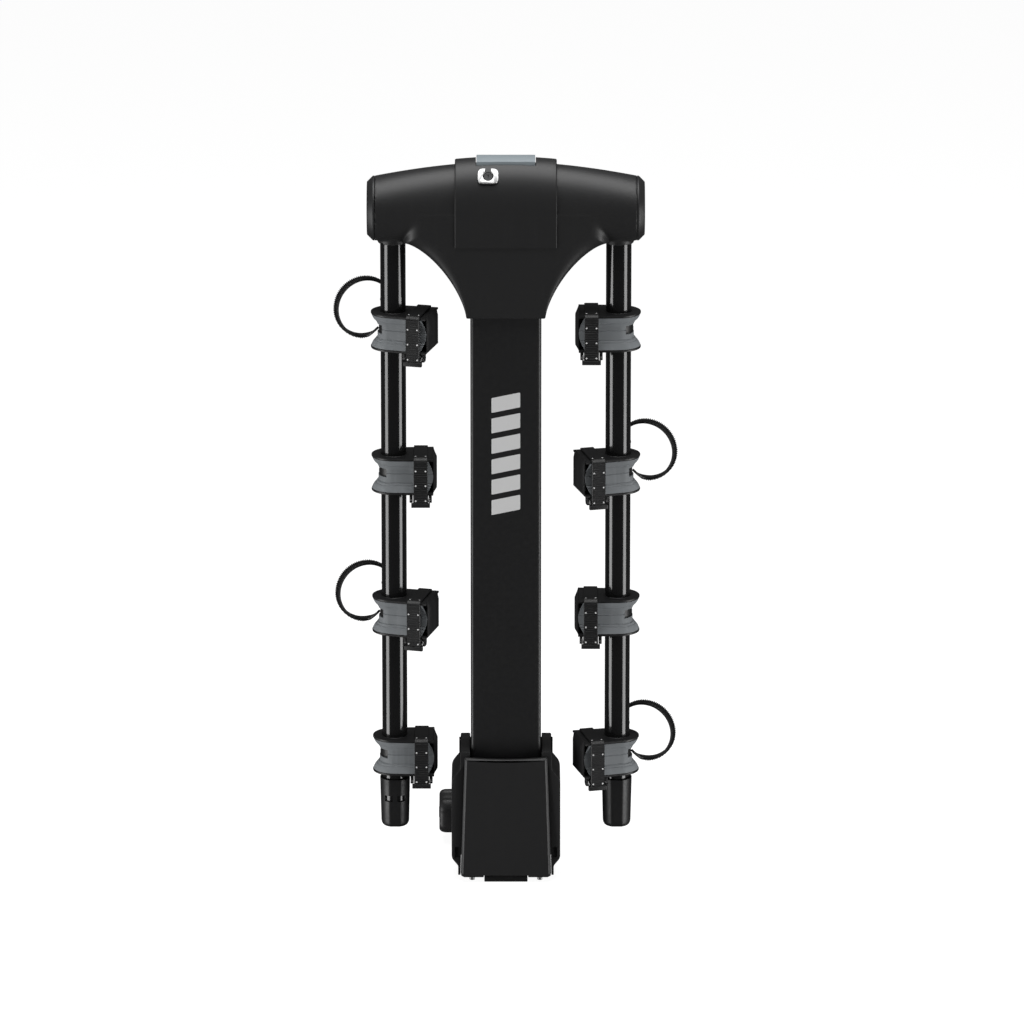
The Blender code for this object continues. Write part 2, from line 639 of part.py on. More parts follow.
def skirt_half(drop):
    """Half-width of the skirt at a drop below the fold axis; its side is a hollow curve."""
    share = np.clip((SKIRT_DROP - drop) / (SKIRT_DROP - HEAD_RADIUS), 0, 1)
    return SKIRT_SPREAD - (SKIRT_SPREAD - SKIRT_HALF) * (1 - share ** 1.5) ** (1 / 1.5)


def skirt(inset):
    """The skirt below the head, wide at the top; inset makes its hollow."""
    rings = []
    depths = np.linspace(0.30, 1.0, 9) * SKIRT_DROP
    for drop in depths:
        low = drop + (0.02 if inset and drop == depths[-1] else 0)
        half = skirt_half(drop) - inset
        front = -HEAD_RADIUS + SKIRT_LEAN * (drop / SKIRT_DROP) ** 2 + inset
        side = 0.3 * (half - SKIRT_HALF + inset) + 0.0025
        rear = SKIRT_REAR + (0.03 if inset else 0)
        shoulder = front + 0.45 * side + 0.002
        outline = [(half, rear), (half, shoulder), (half - side, front)]
        outline = outline + [(-x, y) for x, y in outline[::-1]]
        rings.append(lift(np.array(outline) + (0, MAST_Y), "Z", FOLD_Z - low))
    return loft(rings)


def make_head(plastic):
    """Shell that turns with the arms, its end caps and its centre cover."""
    collar = rod("Z", (ARM_X, MAST_Y), COLLAR_RADIUS, COLLAR_FOOT_Z, COLLAR_FOOT_Z + 0.014)
    arm_hole = rod("Z", (ARM_X, MAST_Y), ARM_RADIUS + GAP, COLLAR_FOOT_Z - 0.01, FOLD_Z - 0.01)
    mast_way = block((-MAST_HALF - 0.0018, MAST_Y - MAST_DEPTH / 2 - 0.0015, FOLD_Z - SKIRT_DROP - 0.01),
                     (MAST_HALF + 0.0018, MAST_Y + 0.06, FOLD_Z + MAST_DEPTH / 2 + 0.0025))
    pawl_hole = block((-PAWL_HALF - 0.0015, MAST_Y - 0.009, FOLD_Z + 0.045),
                      (PAWL_HALF + 0.0015, MAST_Y + 0.016, FOLD_Z + 0.07))
    axle_hole = rod("X", FOLD[1:] + PADDLE_PIN, PADDLE_AXLE_RADIUS + GAP, LUG_X[0] - LUG_HALF,
                    LUG_X[1] + GAP, 12)
    solid("head_shell", [barrel(HEAD_HALF, 0)], plastic, "arms", joins=[skirt(0), *both_sides(collar)],
          cuts=[barrel(HEAD_HALF + SPARE, -HEAD_WALL), skirt(HEAD_WALL), *both_sides(arm_hole), mast_way,
                pawl_hole,
                lock_bore()],
          added=both_sides(paddle_lug()), bored=both_sides(axle_hole))
    stations = [(HEAD_HALF + GAP, 1.0), (HEAD_HALF + 0.002, 1.0), (HEAD_END - 0.001, HEAD_END_SCALE + 0.03),
                (HEAD_END, HEAD_END_SCALE)]
    cap = loft([lift(head_section(HEAD_HALF, 0, scale), "X", x) for x, scale in stations])
    solid("head_end_cap_right", [cap], plastic, "arms")
    solid("head_end_cap_left", [mirrored(cap)], plastic, "arms")
    make_center_cover(plastic)


def paddle_lug():
    """Lug on the head's top that carries one end of the paddle's axle."""
    y, z = FOLD[1:] + PADDLE_PIN
    foot = z - LUG_FOOT
    return block((LUG_X[0], y - LUG_HALF, foot), (LUG_X[1], y + LUG_HALF, z + PADDLE_EYE_RADIUS))


def cover_arc(grow_foot, grow_top, x):
    """Front foot to rear top over the head at x, at a distance from its skin."""
    angles = np.linspace(0.32 * math.pi, math.pi, 20)
    grow = grow_top + (grow_foot - grow_top) * np.clip((angles / math.pi - 0.5) * 2, 0, 1)
    flat = (HEAD_RADIUS + grow) * np.cos(angles)
    tall = (head_top(x) + grow) * np.sin(angles)
    front = -HEAD_RADIUS + SKIRT_LEAN * (CENTER_COVER_DROP / SKIRT_DROP) ** 2 - grow_foot
    return np.concatenate([np.stack([flat, tall], 1), [(front, -CENTER_COVER_DROP)]]) + FOLD[1:]


def make_center_cover(plastic):
    """Saddle over the middle of the head, notched for the release paddle."""
    low, high = CENTER_COVER_PROUD
    rings = []
    for x in np.linspace(-1, 1, 7) * CENTER_COVER_HALF:
        inner = cover_arc(GAP, GAP, x)
        outer = cover_arc(low, high, x)[::-1]
        rings.append(lift(np.concatenate([inner, outer]), "X", x))
    notch_half = PADDLE_HALF + PADDLE_GAP
    notch = block((-notch_half, MAST_Y + PADDLE_REACH[0] - PADDLE_GAP, FOLD_Z + 0.030),
                  (notch_half, MAST_Y + PADDLE_REACH[1] + 0.02, FOLD_Z + 0.09))
    solid("head_center_cover", [loft(rings)], plastic, "arms", cuts=[notch, lock_bore()])


# ---------------------------------------------------------------- release paddle and lock
def make_release(grey, steel):
    """Squeeze paddle in the top of the head, and the pawl below it."""
    angles = np.linspace(math.acos(PADDLE_REACH[1] / (HEAD_RADIUS + PADDLE_PROUD)),
                         math.acos(PADDLE_REACH[0] / (HEAD_RADIUS + PADDLE_PROUD)), 12)

    def skin(proud):
        flat = (HEAD_RADIUS + proud) * np.cos(angles)
        return np.stack([flat, (HEAD_RISE + proud) * np.sin(angles)], 1) + FOLD[1:]

    plate = np.concatenate([skin(PADDLE_PROUD), skin(PADDLE_PROUD - PADDLE_WALL)[::-1]])
    pin = FOLD[1:] + PADDLE_PIN
    eye_half = LUG_X[0] - 2 * GAP
    axle_half = LUG_X[1] - GAP
    eye = rod("X", pin, PADDLE_EYE_RADIUS, -eye_half, eye_half, 12)
    axle = rod("X", pin, PADDLE_AXLE_RADIUS, -axle_half, axle_half, 12)
    web = block((-0.028, pin[0] - 0.0018, pin[1] + 0.001), (0.028, pin[0] + 0.0012, pin[1] + 0.0042))
    solid("release_paddle", [prism(plate, "X", -PADDLE_HALF, PADDLE_HALF)], grey, "paddle",
          joins=[eye, web, axle])
    underside = FOLD_Z + HEAD_RISE + PADDLE_PROUD - PADDLE_WALL - 0.0012
    tip = FOLD_Z + SECTOR_RECESS + 2 * GAP
    pawl = block((-PAWL_HALF, MAST_Y - PAWL_HALF, tip), (PAWL_HALF, MAST_Y + PAWL_HALF, underside))
    solid("release_pawl", [pawl], steel, "paddle")


def lock_turn():
    """Rotation from flat (x, y, out) to the lock plate's place on the head's upper front."""
    tangent = np.array([-(HEAD_RADIUS) * math.sin(LOCK_ANGLE), head_top(LOCK_X) * math.cos(LOCK_ANGLE)])
    tangent = -tangent / np.linalg.norm(tangent)
    out = np.array([-tangent[1], tangent[0]])
    return np.array([[1, 0, 0], [0, tangent[0], out[0]], [0, tangent[1], out[1]]])


def lock_point(proud):
    """Point on the centre cover's skin where the lock sits."""
    grow = CENTER_COVER_PROUD[1] * 0.8
    flat = (HEAD_RADIUS + grow) * math.cos(LOCK_ANGLE)
    tall = (head_top(LOCK_X) + grow) * math.sin(LOCK_ANGLE)
    return np.array([LOCK_X, *(FOLD[1:] + (flat, tall))]) + proud * lock_turn()[:, 2]


def lock_bore():
    """Cutter for the lock cylinder's hole."""
    return moved(rod("Z", (0, 0), LOCK_RADIUS + GAP, -0.011, 0.008), lock_point(0), lock_turn())


def make_cable_lock(steel, black):
    """Horseshoe plate round a lock cylinder."""
    width, height, depth = LOCK_PLATE
    plate = moved(prism(round_rect(width, height, 0.005), "Z", 0.0008, 0.0008 + depth), lock_point(0),
                  lock_turn())
    hole = moved(rod("Z", (0, 0), LOCK_RADIUS + GAP, -0.01, 0.01), lock_point(0), lock_turn())
    neck = moved(block((-0.0035, 0, -0.01), (0.0035, height, 0.01)), lock_point(0), lock_turn())
    solid("cable_lock_plate", [plate], steel, "arms", cuts=[hole, neck])
    core = moved(rod("Z", (0, 0), LOCK_RADIUS, -0.010, 0.0012, 20), lock_point(0), lock_turn())
    solid("cable_lock_cylinder", [core], black, "cable_lock")


# ---------------------------------------------------------------- arms
def make_arms(tube_black, plastic):
    """Cross tube, the two arm tubes coped to it, and their end caps."""
    solid("cross_tube", [ring("X", FOLD[1:], CROSS_RADIUS - CROSS_WALL, CROSS_RADIUS, -CROSS_HALF,
                              CROSS_HALF, 32)],
          tube_black, "arms")
    cope = rod("X", FOLD[1:], CROSS_RADIUS + GAP, -0.2, 0.2, 32)
    for name, side in (("left", -1), ("right", 1)):
        center = (side * ARM_X, MAST_Y)
        tube = ring("Z", center, ARM_RADIUS - ARM_WALL, ARM_RADIUS, ARM_FOOT_Z, FOLD_Z - 0.005)
        solid("arm_tube_" + name, [tube], tube_black, "arms", cuts=[cope])
        make_arm_cap(name, center, plastic, slotted=side < 0)


def make_arm_cap(name, center, plastic, slotted):
    """Cup on an arm's foot with a flat front; one has a slot with a strap catch."""
    low, high = CAP_Z
    rings = []
    for z, radius in ((low, 0.75 * CAP_RADIUS[0]), (low + 0.004, 0.95 * CAP_RADIUS[0]),
                      (low + 0.008, CAP_RADIUS[0]),
                      (high, CAP_RADIUS[1])):
        outline = circle(radius)
        outline[:, 1] = np.maximum(outline[:, 1], -0.93 * radius)
        rings.append(lift(outline + center, "Z", z))
    bore = rod("Z", center, ARM_RADIUS + GAP, ARM_FOOT_Z - GAP, high + 0.01)
    cuts = [bore]
    if slotted:
        x, y = center
        front = y - ARM_RADIUS - 0.0012
        middle = low + 0.60 * (high - low)
        for side in (-1, 1):
            inner, outer = sorted((x + side * 0.003, x + side * 0.013))
            cuts.append(block((inner, y - 0.03, middle - 0.004), (outer, front, middle + 0.004)))
    solid("arm_end_cap_" + name, [loft(rings)], plastic, "arms", cuts=cuts)


# ---------------------------------------------------------------- cradles
def saddle_outline(edge, end, taper=PAD_FLARE):
    """Plan view with +X outwards: round about the arm, deeper towards the inner end."""
    nose = circle(edge, 13, (0, 0), -math.pi / 2, math.pi)
    return np.concatenate([nose, [(-end, edge + taper), (-end, -edge - taper)]])


def cradle_core():
    """Hard core: hub, upper and lower plates, spine and inner end frame."""
    bore = rod("Z", (0, 0), ARM_RADIUS + GAP, -0.05, 0.05)
    inner_top = PAD_HALF_HEIGHT + GAP
    outer_top = inner_top + PLATE_LEAF
    hub = rod("Z", (0, 0), ARM_RADIUS + GAP + HUB_WALL, -outer_top, outer_top)
    leaf = prism(saddle_outline(PLATE_EDGE, SADDLE_INNER), "Z", inner_top, outer_top)
    lower_leaf = prism(saddle_outline(PLATE_EDGE, SADDLE_INNER), "Z", -outer_top, -inner_top)
    spine = block((-SADDLE_INNER - 0.001, -SPINE_HALF, -inner_top - 0.001),
                  (-0.005, SPINE_HALF, inner_top + 0.001))
    half = PLATE_EDGE - 0.001
    frame_yz = [(-half, -outer_top), (half, -outer_top), (half, outer_top - 0.006),
                (half - 0.006, outer_top),
                (0.006 - half, outer_top), (-half, outer_top - 0.006)]
    frame = prism(frame_yz, "X", -SADDLE_INNER - FRAME_DEPTH, -SADDLE_INNER + GAP)
    return hub, [leaf, lower_leaf, spine, frame], [bore]


def cradle_pad():
    """Soft pad round the core, waisted half-way up, open at its inner end."""
    rings = []
    for share in (-1, -0.72, -0.3, 0.3, 0.72, 1):
        waist = PAD_WAIST * (0.5 + 0.5 * math.cos(math.pi * share))
        outline = saddle_outline(PAD_EDGE - waist, SADDLE_INNER - 2 * GAP)
        rings.append(lift(outline, "Z", share * PAD_HALF_HEIGHT))
    hub_hole = rod("Z", (0, 0), ARM_RADIUS + HUB_WALL + 2 * GAP, -0.05, 0.05, ROUND + 2)
    spine_way = block((-SADDLE_INNER - 0.01, -SPINE_HALF - GAP, -0.05), (-0.004, SPINE_HALF + GAP, 0.05))
    slot = block((ARM_RADIUS + HUB_WALL + GAP, -LOOP_HALF - 0.002, -0.0085),
                 (0.04, LOOP_HALF + 0.002, 0.005))
    return loft(rings), [hub_hole, spine_way, slot]


def cradle_strap():
    """Ladder strap over the saddle's front with its buckle under the lower plate."""
    plate_top = PAD_HALF_HEIGHT + GAP + PLATE_LEAF
    back = -PLATE_EDGE - PAD_FLARE - 0.0005
    front = back - STRAP_THICKNESS
    top = plate_top + 0.0025
    side = [(-0.004, plate_top + GAP), (-0.004, plate_top + 0.003), (back + 0.002, top + STRAP_THICKNESS),
            (front, top - 0.0025), (front, -BUCKLE_FOOT), (back + 0.002, -BUCKLE_FOOT),
            (back, -BUCKLE_FOOT + 0.008), (back, top - 0.001), (back + 0.002, top)]
    strap = prism(side, "X", -STRAP_OFFSET - STRAP_HALF, -STRAP_OFFSET + STRAP_HALF)
    buckle = block((-STRAP_OFFSET - BUCKLE_HALF, back - 0.001, -BUCKLE_FOOT),
                   (-STRAP_OFFSET + BUCKLE_HALF, back + 0.014, -plate_top - GAP))
    return strap, [buckle]


def loop_path():
    """Anti-sway strap's line and width direction: out of the slot, round a circle and behind the arm."""
    out, back, up = LOOP_CENTER
    angles = np.radians(np.arange(-90, 151, 15))
    reach = LOOP_RADIUS * np.cos(angles)
    arc = np.stack([out + reach * math.cos(LOOP_YAW), back - reach * math.sin(LOOP_YAW),
                    up + LOOP_RADIUS * np.sin(angles)], 1)
    start = []
    for reach, height in ((ARM_RADIUS + HUB_WALL + 0.003, -0.001), (0.027, -0.007)):
        start.append((reach * math.cos(CRADLE_YAW), reach * math.sin(CRADLE_YAW), height))
    stop = [(0.001, 0.0235, 0.034), (-0.001, 0.0235, PAD_HALF_HEIGHT + PLATE_LEAF + 2 * GAP)]
    path = np.concatenate([start, arc, stop])
    across = np.tile((math.sin(LOOP_YAW), math.cos(LOOP_YAW), 0.0), (len(path), 1))
    across[:2] = (-math.sin(CRADLE_YAW), math.cos(CRADLE_YAW), 0.0)
    return path, across


def make_cradles(black, grey):
    """Four cradles down each arm; the straps loop outwards on alternate ones."""
    finishes = {"core": black, "pad": grey, "strap": black, "loop": black}
    for arm, side in (("left", -1), ("right", 1)):
        meshes = {}
        for index in range(CRADLE_COUNT):
            looped = (index % 2 == 0) == (side < 0)
            yaw = side * CRADLE_YAW if looped else 0.0
            name = "cradle_%s_%d" % (arm, index + 1)
            height = CRADLE_TOP_Z - index * CRADLE_PITCH
            body(name, (side * ARM_X, MAST_Y, height), "arms", yaw)
            for part in ("core", "pad", "strap", "loop"):
                if part == "loop" and not looped:
                    continue
                if part not in meshes:
                    meshes[part] = cradle_mesh(part, side, yaw)
                piece = bpy.data.objects.new("%s_%s" % (name, part), meshes[part])
                bpy.context.collection.objects.link(piece)
                place(piece, finishes[part], name, local=True)


def cradle_mesh(part, side, yaw):
    """Mesh of one cradle piece in the cradle's own frame, mirrored for the left arm."""
    joins, cuts = (), ()
    if part == "core":
        shape, joins, cuts = cradle_core()
    elif part == "pad":
        shape, cuts = cradle_pad()
    elif part == "strap":
        shape, joins = cradle_strap()
    else:
        path, across = loop_path()
        turn = np.array(Matrix.Rotation(-abs(yaw), 3, "Z"))
        shape = ribbon(path @ turn.T, across @ turn.T, LOOP_HALF, LOOP_THICKNESS)
    flip = mirrored if side < 0 else (lambda item: item)
    piece = bpy.data.objects.new("work", mesh_of("cradle_" + part, [flip(shape)]))
    bpy.context.collection.objects.link(piece)
    for item in joins:
        combine(piece, flip(item), "UNION")
    for item in cuts:
        combine(piece, flip(item), "DIFFERENCE")
    mesh = piece.data
    bpy.data.objects.remove(piece)
    return mesh


def make_bodies():
    """Empties on the joint axes."""
    body("root", (0, 0, 0))
    body("pin", (0, 0, 0), "root")
    body("mast", PIVOT, "root")
    body("tilt_lever", PIVOT + (0, *LEVER_PIN), "mast")
    body("tilt_latch", PIVOT + (0, 0, LATCH_HEIGHT), "mast")
    body("arms", FOLD, "mast")
    body("paddle", FOLD + (0, *PADDLE_PIN), "arms")
    body("cable_lock", lock_point(0), "arms")
    body("knob_lock", (KNOB_FACE_X, 0, 0), "pin")


def main():
    """Clear the scene and build the rack."""
    for item in list(bpy.data.objects):
        bpy.data.objects.remove(item)
    steel = finish("black_powder_coat", (0.012, 0.012, 0.013), 0.45, 0.2)
    tube_black = finish("gloss_black_tube", (0.010, 0.010, 0.011), 0.22, 0.2)
    plastic = finish("moulded_black", (0.016, 0.016, 0.017), 0.50)
    black = finish("black_nylon", (0.010, 0.010, 0.011), 0.45)
    grey = finish("grey_rubber", (0.13, 0.145, 0.16), 0.60)
    paddle = finish("grey_paddle", (0.20, 0.23, 0.25), 0.45)
    bright = finish("plated_steel", (0.62, 0.62, 0.61), 0.28, 1.0)
    nylon = finish("white_nylon", (0.55, 0.55, 0.52), 0.50)
    make_bodies()
    make_hitch(steel, black, plastic)
    make_bracket(steel)
    make_side_covers(plastic)
    make_front_cover(plastic, bright)
    make_tilt_latch(black, bright)
    make_mast(steel, nylon)
    make_head(plastic)
    make_release(paddle, bright)
    make_cable_lock(bright, black)
    make_arms(tube_black, plastic)
    make_cradles(black, grey)


main()
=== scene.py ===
"""Hitch mounted bike rack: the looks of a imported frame, in metres, +Z up."""
import json
import math

import bpy
import numpy as np
from bpy.props import FloatProperty, FloatVectorProperty, PointerProperty
from bpy.types import Operator, Panel, PropertyGroup
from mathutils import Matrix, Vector


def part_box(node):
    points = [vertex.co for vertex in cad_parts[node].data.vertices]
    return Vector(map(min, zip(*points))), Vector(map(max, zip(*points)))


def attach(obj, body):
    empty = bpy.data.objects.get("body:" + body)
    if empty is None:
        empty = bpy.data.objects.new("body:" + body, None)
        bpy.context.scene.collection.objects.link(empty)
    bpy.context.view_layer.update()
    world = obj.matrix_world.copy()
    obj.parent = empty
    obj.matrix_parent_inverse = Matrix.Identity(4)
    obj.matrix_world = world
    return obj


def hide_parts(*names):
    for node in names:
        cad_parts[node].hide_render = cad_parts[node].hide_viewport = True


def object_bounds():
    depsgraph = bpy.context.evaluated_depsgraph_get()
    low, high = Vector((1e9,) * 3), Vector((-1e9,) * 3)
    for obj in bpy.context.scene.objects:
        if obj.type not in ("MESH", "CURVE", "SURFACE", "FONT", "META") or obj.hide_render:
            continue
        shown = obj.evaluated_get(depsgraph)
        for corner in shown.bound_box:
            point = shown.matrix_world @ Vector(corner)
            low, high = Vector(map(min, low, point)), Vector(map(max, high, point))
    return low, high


bl_info = {
    "name": "Hitch Mounted Bike Rack",
    "version": (1, 0, 0),
    "blender": (4, 5, 0),
    "location": "View3D > Sidebar > Bike Rack",
    "description": "Finished surfaces and materials for a folding hitch mounted bike rack",
    "category": "Object",
}

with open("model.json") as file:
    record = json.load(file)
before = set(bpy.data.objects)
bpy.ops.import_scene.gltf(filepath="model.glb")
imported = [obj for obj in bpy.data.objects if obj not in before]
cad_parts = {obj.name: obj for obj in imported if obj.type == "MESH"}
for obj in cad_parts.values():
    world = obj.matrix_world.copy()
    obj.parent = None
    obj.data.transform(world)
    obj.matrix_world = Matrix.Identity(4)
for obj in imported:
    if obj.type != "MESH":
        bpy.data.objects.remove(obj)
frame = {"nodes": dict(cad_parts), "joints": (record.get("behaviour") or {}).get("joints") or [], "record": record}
CAD_BOX = [[float(v) for v in corner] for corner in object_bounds()]

# Places taken from the frame
JOINTS = {joint["name"]: joint for joint in frame["joints"]}
FOLD = np.array(JOINTS["arm_fold"]["pos_m"])
PIVOT = np.array(JOINTS["mast_tilt"]["pos_m"])
LEVER_PIN = np.array(JOINTS["tilt_lever"]["pos_m"])
LOCK_POINT = np.array(JOINTS["cable_lock_key"]["pos_m"])
LOCK_AXIS = np.array(JOINTS["cable_lock_key"]["axis"])
ARM_X = JOINTS["cradle_right_1_swivel"]["pos_m"][0]
MAST_Y = FOLD[1]
ARM_RADIUS = (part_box("arm_tube_right")[1][0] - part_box("arm_tube_right")[0][0]) / 2
MAST_LOW, MAST_HIGH = (np.array(corner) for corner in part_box("mast_tube"))
GAP = 0.0003
STRIP_Z = 0.5255

# Head
HEAD_RADIUS = 0.0404
HEAD_HALF = 0.163
HEAD_END = 0.173
HEAD_RISE = 0.059
HEAD_WALL = 0.0036
SKIRT_HALF = 0.0494
SKIRT_DROP = 0.135
SKIRT_SPREAD = 0.127
SKIRT_LEAN = 0.0095
SKIRT_REAR = 0.025
SKIRT_ROUND = 0.024
COLLAR_RADIUS = 0.0184
COLLAR_FOOT = -0.044
COVER_HALF = 0.0634
COVER_PROUD = (0.0016, 0.0064)
COVER_DROP = 0.041
COVER_REAR_ANGLE = 0.32 * math.pi
PADDLE_HALF = 0.0365
PADDLE_REACH = (-0.0163, 0.031)
PADDLE_PROUD = 0.0082
PADDLE_GAP = 0.0008
PADDLE_WALL = 0.0024
PADDLE_LIP = 0.0062
PADDLE_PIN = np.array((0.022, 0.0522))
LOCK_RADIUS = 0.006
LOCK_PLATE = (0.026, 0.021, 0.002)
LOCK_NECK = 0.0035

# Foot
COVER_Z = (-0.030, 0.130)
COVER_FOOT_HALF = 0.0575
COVER_TOP_HALF = 0.0526
SIDE_HALF = 0.069
SIDE_TAB_Z = 0.136
KNOB_RADIUS = 0.0295
KNOB_HOLE = (-0.096, -0.074)
GRIP_FOOT = -0.0365
GRIP_HALF = 0.0275
AXLE_HALF = 0.0325

# Arms
ARM_CAP_RADII = (0.0194, 0.0177)     # at its mouth and above its rounded foot
ARM_CAP_FOOT = 0.007
CATCH_SLOT = (0.003, 0.013)          # the left cap's slots: near and far side from the arm's axis
CATCH_HALF = 0.004

# Cradles
CRADLE_YAW = math.radians(15)
PLATE_EDGE = 0.028
PLATE_LEAF = 0.0028
PAD_EDGE = 0.0265
PAD_HALF_HEIGHT = 0.0204
PAD_NOSE_WAIST = 0.0068
PAD_LEG_WAIST = 0.0035
PAD_GROOVES = (0.0130, 0.0032, -0.0092, -0.0125)
PAD_BULGE = 0.0075
WINDOW_HALF = 0.0055
WINDOW_LEVEL = 0.003
WINDOW_SPAN = (math.radians(-66), math.radians(14))
SADDLE_INNER = 0.050
FRAME_HALF = 0.0255
SADDLE_TAPER = 0.0025
STRAP_OFFSET = 0.034
STRAP_HALF = 0.00875
STRAP_THICKNESS = 0.0024
STRAP_REAR = 0.024
BUCKLE_FOOT = 0.038
LOOP_RADIUS = 0.0368
LOOP_CENTER = (0.036, 0.012, 0.025)
LOOP_YAW = math.radians(18)
LOOP_HALF = 0.006
LOOP_THICKNESS = 0.0032


# ---------------------------------------------------------------- surfaces
def grid_faces(rows, columns, wrap_rows=False, wrap_columns=True):
    """Quads between neighbouring points of a grid numbered row by row."""
    i, j = np.meshgrid(np.arange(rows if wrap_rows else rows - 1),
                       np.arange(columns if wrap_columns else columns - 1), indexing="ij")
    down, right = (i + 1) % rows, (j + 1) % columns
    return np.stack([i * columns + j, i * columns + right, down * columns + right, down * columns + j],
                    -1).reshape(-1, 4)


def turned_out(points, faces):
    """The same closed shape with its faces turned outwards: its signed volume is made positive."""
    volume = 0.0
    for size in sorted({len(face) for face in faces}):
        chosen = np.array([face for face in faces if len(face) == size], int).reshape(-1, size)
        for step in range(1, size - 1):
            a, b, c = (points[chosen[:, k]] for k in (0, step, step + 1))
            volume += np.einsum("ij,ij->i", a, np.cross(b, c)).sum()
    if volume < 0:
        faces = [face[::-1] for face in faces]
    return points, faces


def closed_skin(rings, wrap=False):
    """Surface through a stack of rings; unless they wrap round, one flat face closes each end."""
    rings = np.asarray(rings, float)
    rows, columns = rings.shape[:2]
    faces = grid_faces(rows, columns, wrap).tolist()
    if not wrap:
        faces.append(np.arange(columns)[::-1].tolist())
        faces.append(np.arange((rows - 1) * columns, rows * columns).tolist())
    return rings.reshape(-1, 3), faces


def circle(radius, count=64, center=(0.0, 0.0), start=0.0, sweep=2 * math.pi):
    """Points at equal angles round a circle, or along an arc of it."""
    full = abs(sweep) >= 2 * math.pi - 1e-9
    turn = start + np.linspace(0, sweep, count, endpoint=not full)
    return np.stack([center[0] + radius * np.cos(turn), center[1] + radius * np.sin(turn)], 1)


def rounded(corners, radius, steps=5):
    """Outline whose corners are replaced by curves that leave each edge at the radius from the corner."""
    corners = np.asarray(corners, float)
    reach = np.broadcast_to(np.asarray(radius, float), len(corners))[:, None]
    back = np.roll(corners, 1, 0) - corners
    ahead = np.roll(corners, -1, 0) - corners
    start = corners + reach * back / np.linalg.norm(back, axis=1)[:, None]
    end = corners + reach * ahead / np.linalg.norm(ahead, axis=1)[:, None]
    t = np.linspace(0, 1, steps)[None, :, None]
    curve = (1 - t) ** 2 * start[:, None] + 2 * t * (1 - t) * corners[:, None] + t ** 2 * end[:, None]
    return curve.reshape(-1, 2)


def inset(outline, distance):
    """Outline moved inwards so that each edge shifts by the distance, mitred at the corners."""
    outline = np.asarray(outline, float)
    ahead = np.roll(outline, -1, 0) - outline
    ahead /= np.linalg.norm(ahead, axis=1)[:, None]
    behind = np.roll(ahead, 1, 0)
    x, y = outline.T
    winding = np.sign(np.sum(x * np.roll(y, -1) - y * np.roll(x, -1)))
    out = winding * np.stack([ahead[:, 1] + behind[:, 1], -ahead[:, 0] - behind[:, 0]], 1)
    out /= np.maximum(1 + np.einsum("ij,ij->i", ahead, behind), 0.3)[:, None]
    return outline - distance * out


def stand(outline, axis, along):
    """Flat outline put at a place along an axis: X takes (y, z), Y takes (x, z), Z takes (x, y)."""
    level = np.full(len(outline), float(along))
    u, v = np.asarray(outline, float).T
    order = {"X": (level, u, v), "Y": (u, level, v), "Z": (u, v, level)}[axis]
    return np.stack(order, 1)


def stacked(outline, axis, stations):
    """Closed surface through one outline at several (inset, place along the axis) stations."""
    return closed_skin([stand(inset(outline, depth), axis, along) for depth, along in stations])


def edge_stations(low, high, bevel, steps=4):
    """Stations of a plate whose two edges are quarter circles."""
    turn = np.linspace(0, math.pi / 2, steps)
    depth = bevel * (1 - np.sin(turn))
    rise = bevel * (1 - np.cos(turn))
    first = list(zip(depth, low + rise))
    return first + [(d, high - r) for d, r in zip(depth[::-1], rise[::-1])]


def slab(outline, axis, low, high, bevel=0.0006, steps=4):
    """Plate between two levels with rounded edges."""
    return stacked(outline, axis, edge_stations(low, high, bevel, steps))


def brick(low, high, bevel=0.0005, axis="Z"):
    """Box with rounded edges and corners."""
    low, high = np.minimum(low, high), np.maximum(low, high)
    a, b = {"X": (1, 2), "Y": (0, 2), "Z": (0, 1)}[axis]
    c = "XYZ".index(axis)
    corners = [(low[a], low[b]), (high[a], low[b]), (high[a], high[b]), (low[a], high[b])]
    return slab(rounded(corners, bevel * 1.5, 4), axis, low[c], high[c], bevel)


def turned(profile, axis, center, count=72):
    """Surface of a profile of (radius, place) pairs turned about an axis."""
    rings = [stand(circle(radius, count, center), axis, along) for radius, along in profile]
    return closed_skin(rings)


def pipe(outline, hollow, axis, low, high, bevel=0.0005):
    """Hollow length with rounded rims: its wall's section carried round the outline."""
    stations = [(0.0, low + bevel), (0.0, high - bevel)]
    outer = [stand(outline, axis, along) for _, along in stations]
    outer.append(stand(inset(outline, bevel), axis, high))
    inner = [stand(hollow, axis, along) for along in (high - bevel, low + bevel)]
    rim_top = stand(inset(hollow, -bevel), axis, high)
    rim_low = stand(inset(hollow, -bevel), axis, low)
    foot = stand(inset(outline, bevel), axis, low)
    return closed_skin([foot, *outer, rim_top, *inner, rim_low], wrap=True)


def resampled(path, count):
    """Path through the same points at equal distances, on a smooth cubic curve. The distance is that of
    the first three columns; further columns, such as a width direction, are carried along."""
    path = np.asarray(path, float)
    knots = np.concatenate([[0], np.cumsum(np.linalg.norm(np.diff(path[:, :3], axis=0), axis=1))])
    slope = np.gradient(path, knots, axis=0)
    place = np.linspace(0, knots[-1], count)
    span = np.clip(np.searchsorted(knots, place, side="right") - 1, 0, len(path) - 2)
    length = (knots[span + 1] - knots[span])[:, None]
    t = ((place - knots[span])[:, None]) / length
    start, end = path[span], path[span + 1]
    return ((2 * t ** 3 - 3 * t ** 2 + 1) * start + (t ** 3 - 2 * t ** 2 + t) * length * slope[span]
            + (3 * t ** 2 - 2 * t ** 3) * end + (t ** 3 - t ** 2) * length * slope[span + 1])


